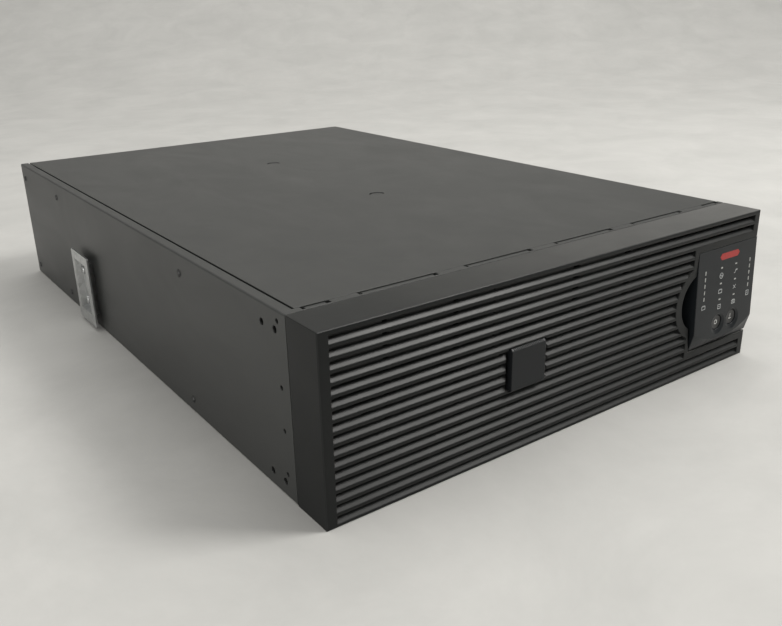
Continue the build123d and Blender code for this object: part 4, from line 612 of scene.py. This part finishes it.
def make_button_signs():
    """The round off sign, and the on sign with a small test wave, printed in the caps' round hollows."""
    for node, (body, strokes) in BUTTON_SIGNS.items():
        low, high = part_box(node)
        middle = (low + high) / 2

        def cap_point(x, z, lift, middle=middle, front=low.y):
            rise = ((x - middle.x) ** 2 + (z - middle.z) ** 2) / (2 * CAP_HOLLOW_RADIUS)
            return Vector((x, front + CAP_HOLLOW - rise - lift, z))

        bm = bmesh.new()
        for points, closed in strokes:
            placed = [(middle.x + a * MM, middle.z + b * MM) for a, b in points]
            ribbon(bm, placed, SIGN_STROKE, cap_point, closed)
        settle(mesh_object(f"{node}_sign", bm, WHITE_INK), body)


# ---- Small pieces -------------------------------------------------------------------------------------------
def turned(bm, centre, profile, count=24):
    """A solid of revolution about a line along Y through a centre; the profile is (radius, y), all in mm."""
    rings = []
    for radius, depth in profile:
        ring = circle_points(radius, count) if radius else [(0, 0)]
        rings.append([bm.verts.new((Vector(centre) + Vector((a, depth, b))) * MM) for a, b in ring])
    for first, second in zip(rings, rings[1:]):
        for n in range(count):
            m = (n + 1) % count
            near = [first[n % len(first)], first[m % len(first)]]
            far = [second[m % len(second)], second[n % len(second)]]
            bm.faces.new(list(dict.fromkeys(near + far)))


def bar(bm, low, high, edge):
    """A block with broken edges between two corners, in mm."""
    low, high = Vector(low) * MM, Vector(high) * MM
    matrix = Matrix.LocRotScale((low + high) / 2, None, high - low)
    verts = bmesh.ops.create_cube(bm, size=1.0, matrix=matrix)["verts"]
    edges = list({edge_of for vert in verts for edge_of in vert.link_edges})
    bmesh.ops.bevel(bm, geom=edges, offset=edge * MM, segments=1, affect="EDGES", profile=0.5)


def arc_strip(bm, centre, radii, middle, span, depth, steps=6):
    """A curved strip about a line along Y, in mm and degrees."""
    inner, outer = [circle_points(r, steps, start=middle - span / 2, span=span) for r in radii]
    outline = inner + outer[::-1]
    ends = [[bm.verts.new((Vector(centre) + Vector((a, y, b))) * MM) for a, b in outline] for y in depth]
    count = len(outline)
    for n in range(count):
        m = (n + 1) % count
        bm.faces.new((ends[0][n], ends[0][m], ends[1][m], ends[1][n]))
    for row in ends:
        for n in range(steps):
            bm.faces.new((row[n], row[n + 1], row[count - 2 - n], row[count - 1 - n]))


def smoothed(points, steps=6):
    """A curve through points, in mm."""
    points = [Vector(p) for p in points]
    padded = [2 * points[0] - points[1], *points, 2 * points[-1] - points[-2]]
    path = []
    for a, b, c, d in zip(padded, padded[1:], padded[2:], padded[3:]):
        for n in range(steps):
            t = n / steps
            square, cube = 2 * a - 5 * b + 4 * c - d, 3 * b - a - 3 * c + d
            path.append(0.5 * (2 * b + (c - a) * t + square * t**2 + cube * t**3))
    return path + [points[-1]]


def wire(bm, points, radius, count=10):
    """A round lead along a smooth path through points, in mm."""
    path = smoothed(points)
    rings = []
    side = Vector((1, 0, 0))
    for n, here in enumerate(path):
        ahead = (path[min(n + 1, len(path) - 1)] - path[max(n - 1, 0)]).normalized()
        side = (side - side.dot(ahead) * ahead).normalized()
        other = ahead.cross(side)
        rings.append([bm.verts.new((here + a * side + b * other) * MM) for a, b in circle_points(radius, count)])
    for first, second in zip(rings, rings[1:]):
        for n in range(count):
            m = (n + 1) % count
            bm.faces.new((first[n], first[m], second[m], second[n]))
    for ring in (rings[0], rings[-1]):
        bm.faces.new(ring)


def finished(name, bm, material, body):
    """Turns all faces outwards and settles the piece."""
    bmesh.ops.recalc_face_normals(bm, faces=bm.faces)
    settle(mesh_object(name, bm, material), body)


# Rear panel, in mm: places are x and z, profiles are (radius, y behind the panel).
PANEL_Y = 324.0
OUTLETS = [(0, 95), (50, 95), (0, 49), (50, 49)]
BREAKERS = [(88, 95), (88, 49)]
FANS = {"left": (-164, 65), "right": (-80, 65)}
SERIAL_PORT = (126, 106)
REMOTE_PORT = (126, 90)
CONTACT_RADII, CONTACT_DEPTH = (9.8, 11.2), (-13.9, -2.5)
CONTACT_MIDDLES, CONTACT_SPAN = (90, 215, 325), 26  # degrees
JACK_SPACING, JACK_SIDES = 12.5, 6
JACK_PROFILE = [(0, 0.8), (2.7, 0.8), (2.7, 5.0), (2.3, 5.4), (1.4, 5.4), (1.2, 2.4), (0, 2.0)]
SCREW_SPACING, SCREW_SIDES = 3, 18
SCREW_PROFILE = [(0, 5.5), (1.45, 5.5), (1.45, 6.4), (1.25, 6.6), (0, 6.6)]
LABEL_SIDES = 40
LABEL_PROFILE = [(0, -4.5), (12.4, -4.5), (12.5, -4.42), (12.3, -4.34), (11.9, -4.32), (11.7, -4.36), (0, -4.36)]
BREAKER_FACE = 2.5


def make_rear_details():
    """Contacts in the outlets, jack screws, terminal screws, hub labels and the breakers' position marks."""
    bm = bmesh.new()
    for x, z in OUTLETS:
        for middle in CONTACT_MIDDLES:
            arc_strip(bm, (x, PANEL_Y, z), CONTACT_RADII, middle, CONTACT_SPAN, CONTACT_DEPTH)
    finished("outlet_contacts", bm, MATERIALS["terminal_metal"], "chassis")
    bm = bmesh.new()
    for side in (-JACK_SPACING, JACK_SPACING):
        turned(bm, (SERIAL_PORT[0] + side, PANEL_Y, SERIAL_PORT[1]), JACK_PROFILE, JACK_SIDES)
    finished("serial_jack_screws", bm, MATERIALS["serial_metal"], "chassis")
    for n, side in enumerate((-SCREW_SPACING, SCREW_SPACING)):
        bm = bmesh.new()
        x, z = REMOTE_PORT[0] + side, REMOTE_PORT[1]
        turned(bm, (x, PANEL_Y, z + 1.2), SCREW_PROFILE, SCREW_SIDES)
        bar(bm, (x - 1.2, PANEL_Y + 6.5, z + 0.95), (x + 1.2, PANEL_Y + 6.75, z + 1.45), 0.08)
        finished(f"remote_screw_{n + 1}", bm, MATERIALS["zinc_steel"], "chassis")
    for side, (x, z) in FANS.items():
        bm = bmesh.new()
        turned(bm, (x, PANEL_Y, z), LABEL_PROFILE, LABEL_SIDES)
        finished(f"fan_hub_label_{side}", bm, LABEL_SILVER, f"{side}_fan")
    bm = bmesh.new()
    for x, z in BREAKERS:
        def face(a, b, lift, x=x, z=z):
            return Vector((x * MM + a, (PANEL_Y + BREAKER_FACE) * MM + lift, z * MM + b))

        ribbon(bm, [(0, 12.6 * MM), (0, 14.9 * MM)], 0.5 * MM, face)
        ribbon(bm, circle_points(1.1 * MM, 16, (0, -13.7 * MM)), 0.4 * MM, face, True)
    finished("breaker_marks", bm, WHITE_INK, "chassis")


# Battery drawers, in mm.
DRAWER_EDGES = {"left": -206, "right": -48}
ROWS = 4
FIRST_COLUMN_X = 39  # middle of the first battery, from the drawer's left edge
TAB_REACH = 24  # from the middle of a battery to each tab
FIRST_ROW_Y = -277.2
ROW_PITCH = 92.0
COLUMN_PITCH = 72.0
TAB_TOP = 110.2
BOOT_HALF_WIDTH, BOOT_HALF_DEPTH, BOOT_BELOW, BOOT_ABOVE, BOOT_EDGE = 4.4, 2.6, 6.5, 1.2, 0.9
LINK_RADIUS, LEAD_RADIUS = 1.7, 2.0
PLUG_X = 75  # from the drawer's left edge


def terminal(edge, column, row, side):
    """The top of one battery tab; side is -1 or 1."""
    x = edge + FIRST_COLUMN_X + COLUMN_PITCH * column + TAB_REACH * side
    return Vector((x, FIRST_ROW_Y + ROW_PITCH * row, TAB_TOP))


def make_boots(drawer, edge):
    """Insulating boots on the tabs. Every other row is turned round, so its red tabs are on the left."""
    boots = {"red": bmesh.new(), "black": bmesh.new()}
    for column in (0, 1):
        for row in range(ROWS):
            for sign in (-1, 1):
                colour = "red" if (sign > 0) == (row % 2 == 0) else "black"
                x, y, z = terminal(edge, column, row, sign)
                low = (x - BOOT_HALF_WIDTH, y - BOOT_HALF_DEPTH, z - BOOT_BELOW)
                high = (x + BOOT_HALF_WIDTH, y + BOOT_HALF_DEPTH, z + BOOT_ABOVE)
                bar(boots[colour], low, high, BOOT_EDGE)
    for colour, material in (("red", WIRE_RED), ("black", WIRE_BLACK)):
        name = f"{drawer}_terminal_boots_{colour}"
        finished(name, boots[colour], material, f"{drawer}_drawer")


def make_links(drawer, edge):
    """Links across each row and between the rows that join eight batteries in series, red tab to black tab."""
    links = bmesh.new()
    up = Vector((0, 0, 1.0))
    for row in range(ROWS):
        a, b = terminal(edge, 0, row, 1) + up, terminal(edge, 1, row, -1) + up
        arch = Vector((0, -4, 3.2))
        wire(links, [a - up, a + arch / 2, (a + b) / 2 + arch, b + arch / 2, b - up], LINK_RADIUS)
    for row in range(ROWS - 1):
        column, sign = ((1, 1), (0, -1))[row % 2]
        a, b = terminal(edge, column, row, sign) + up, terminal(edge, column, row + 1, sign) + up
        sway = Vector((-4.0 * sign, 0, 2.6))
        path = [a - up, a + Vector((0, 6, 2.2)), (a + b) / 2 + sway, b + Vector((0, -6, 2.2)), b - up]
        wire(links, path, LINK_RADIUS)
    finished(f"{drawer}_battery_links", links, WIRE_BLACK, f"{drawer}_drawer")


def make_leads(drawer, edge):
    """The string's two leads, from its first and last tabs to the plug behind the drawer."""
    middle = edge + PLUG_X
    for colour, material, start, sidestep, offset in (
        ("red", WIRE_RED, terminal(edge, 0, ROWS - 1, -1), 2.5, 7),
        ("black", WIRE_BLACK, terminal(edge, 0, 0, -1), -7.5, -7),
    ):
        bm = bmesh.new()
        path = [
            start,
            start + Vector((sidestep, 14, 1)),
            Vector((start.x + sidestep, 52, 110)),
            Vector((middle + 2 * offset, 80, 108)),
            Vector((middle + offset, 87.5, 84)),
            Vector((middle + offset, 86.6, 58)),
            Vector((middle + offset, 86, 50)),
        ]
        wire(bm, path, LEAD_RADIUS)
        finished(f"{drawer}_battery_lead_{colour}", bm, material, f"{drawer}_drawer")


def make_battery_leads():
    """Boots, links and leads of both drawers."""
    for drawer, edge in DRAWER_EDGES.items():
        make_boots(drawer, edge)
        make_links(drawer, edge)
        make_leads(drawer, edge)


NUB_MIDDLES = (-150, -115, -50, 60, 150)


def make_bezel_nubs():
    """Small moulded nubs along the bezel's rear edge that hold it off the case."""
    bm = bmesh.new()
    for x in NUB_MIDDLES:
        bar(bm, (x - 3.5, -297.2, 126.2), (x + 3.5, -294.65, 129.75), 0.35)
        bar(bm, (x - 2.2, -300.5, 125.6), (x + 2.2, -296.8, 127.6), 0.3)
    finished("bezel_nubs", bm, MATERIALS["bezel_plastic"], "bezel")


# ---- Build --------------------------------------------------------------------------------------------------
make_camera()
make_lights()
make_floor()
dress_cad_nodes()
make_legends()
make_button_signs()
make_rear_details()
make_battery_leads()
make_bezel_nubs()

bpy.context.scene.view_settings.view_transform = "Standard"
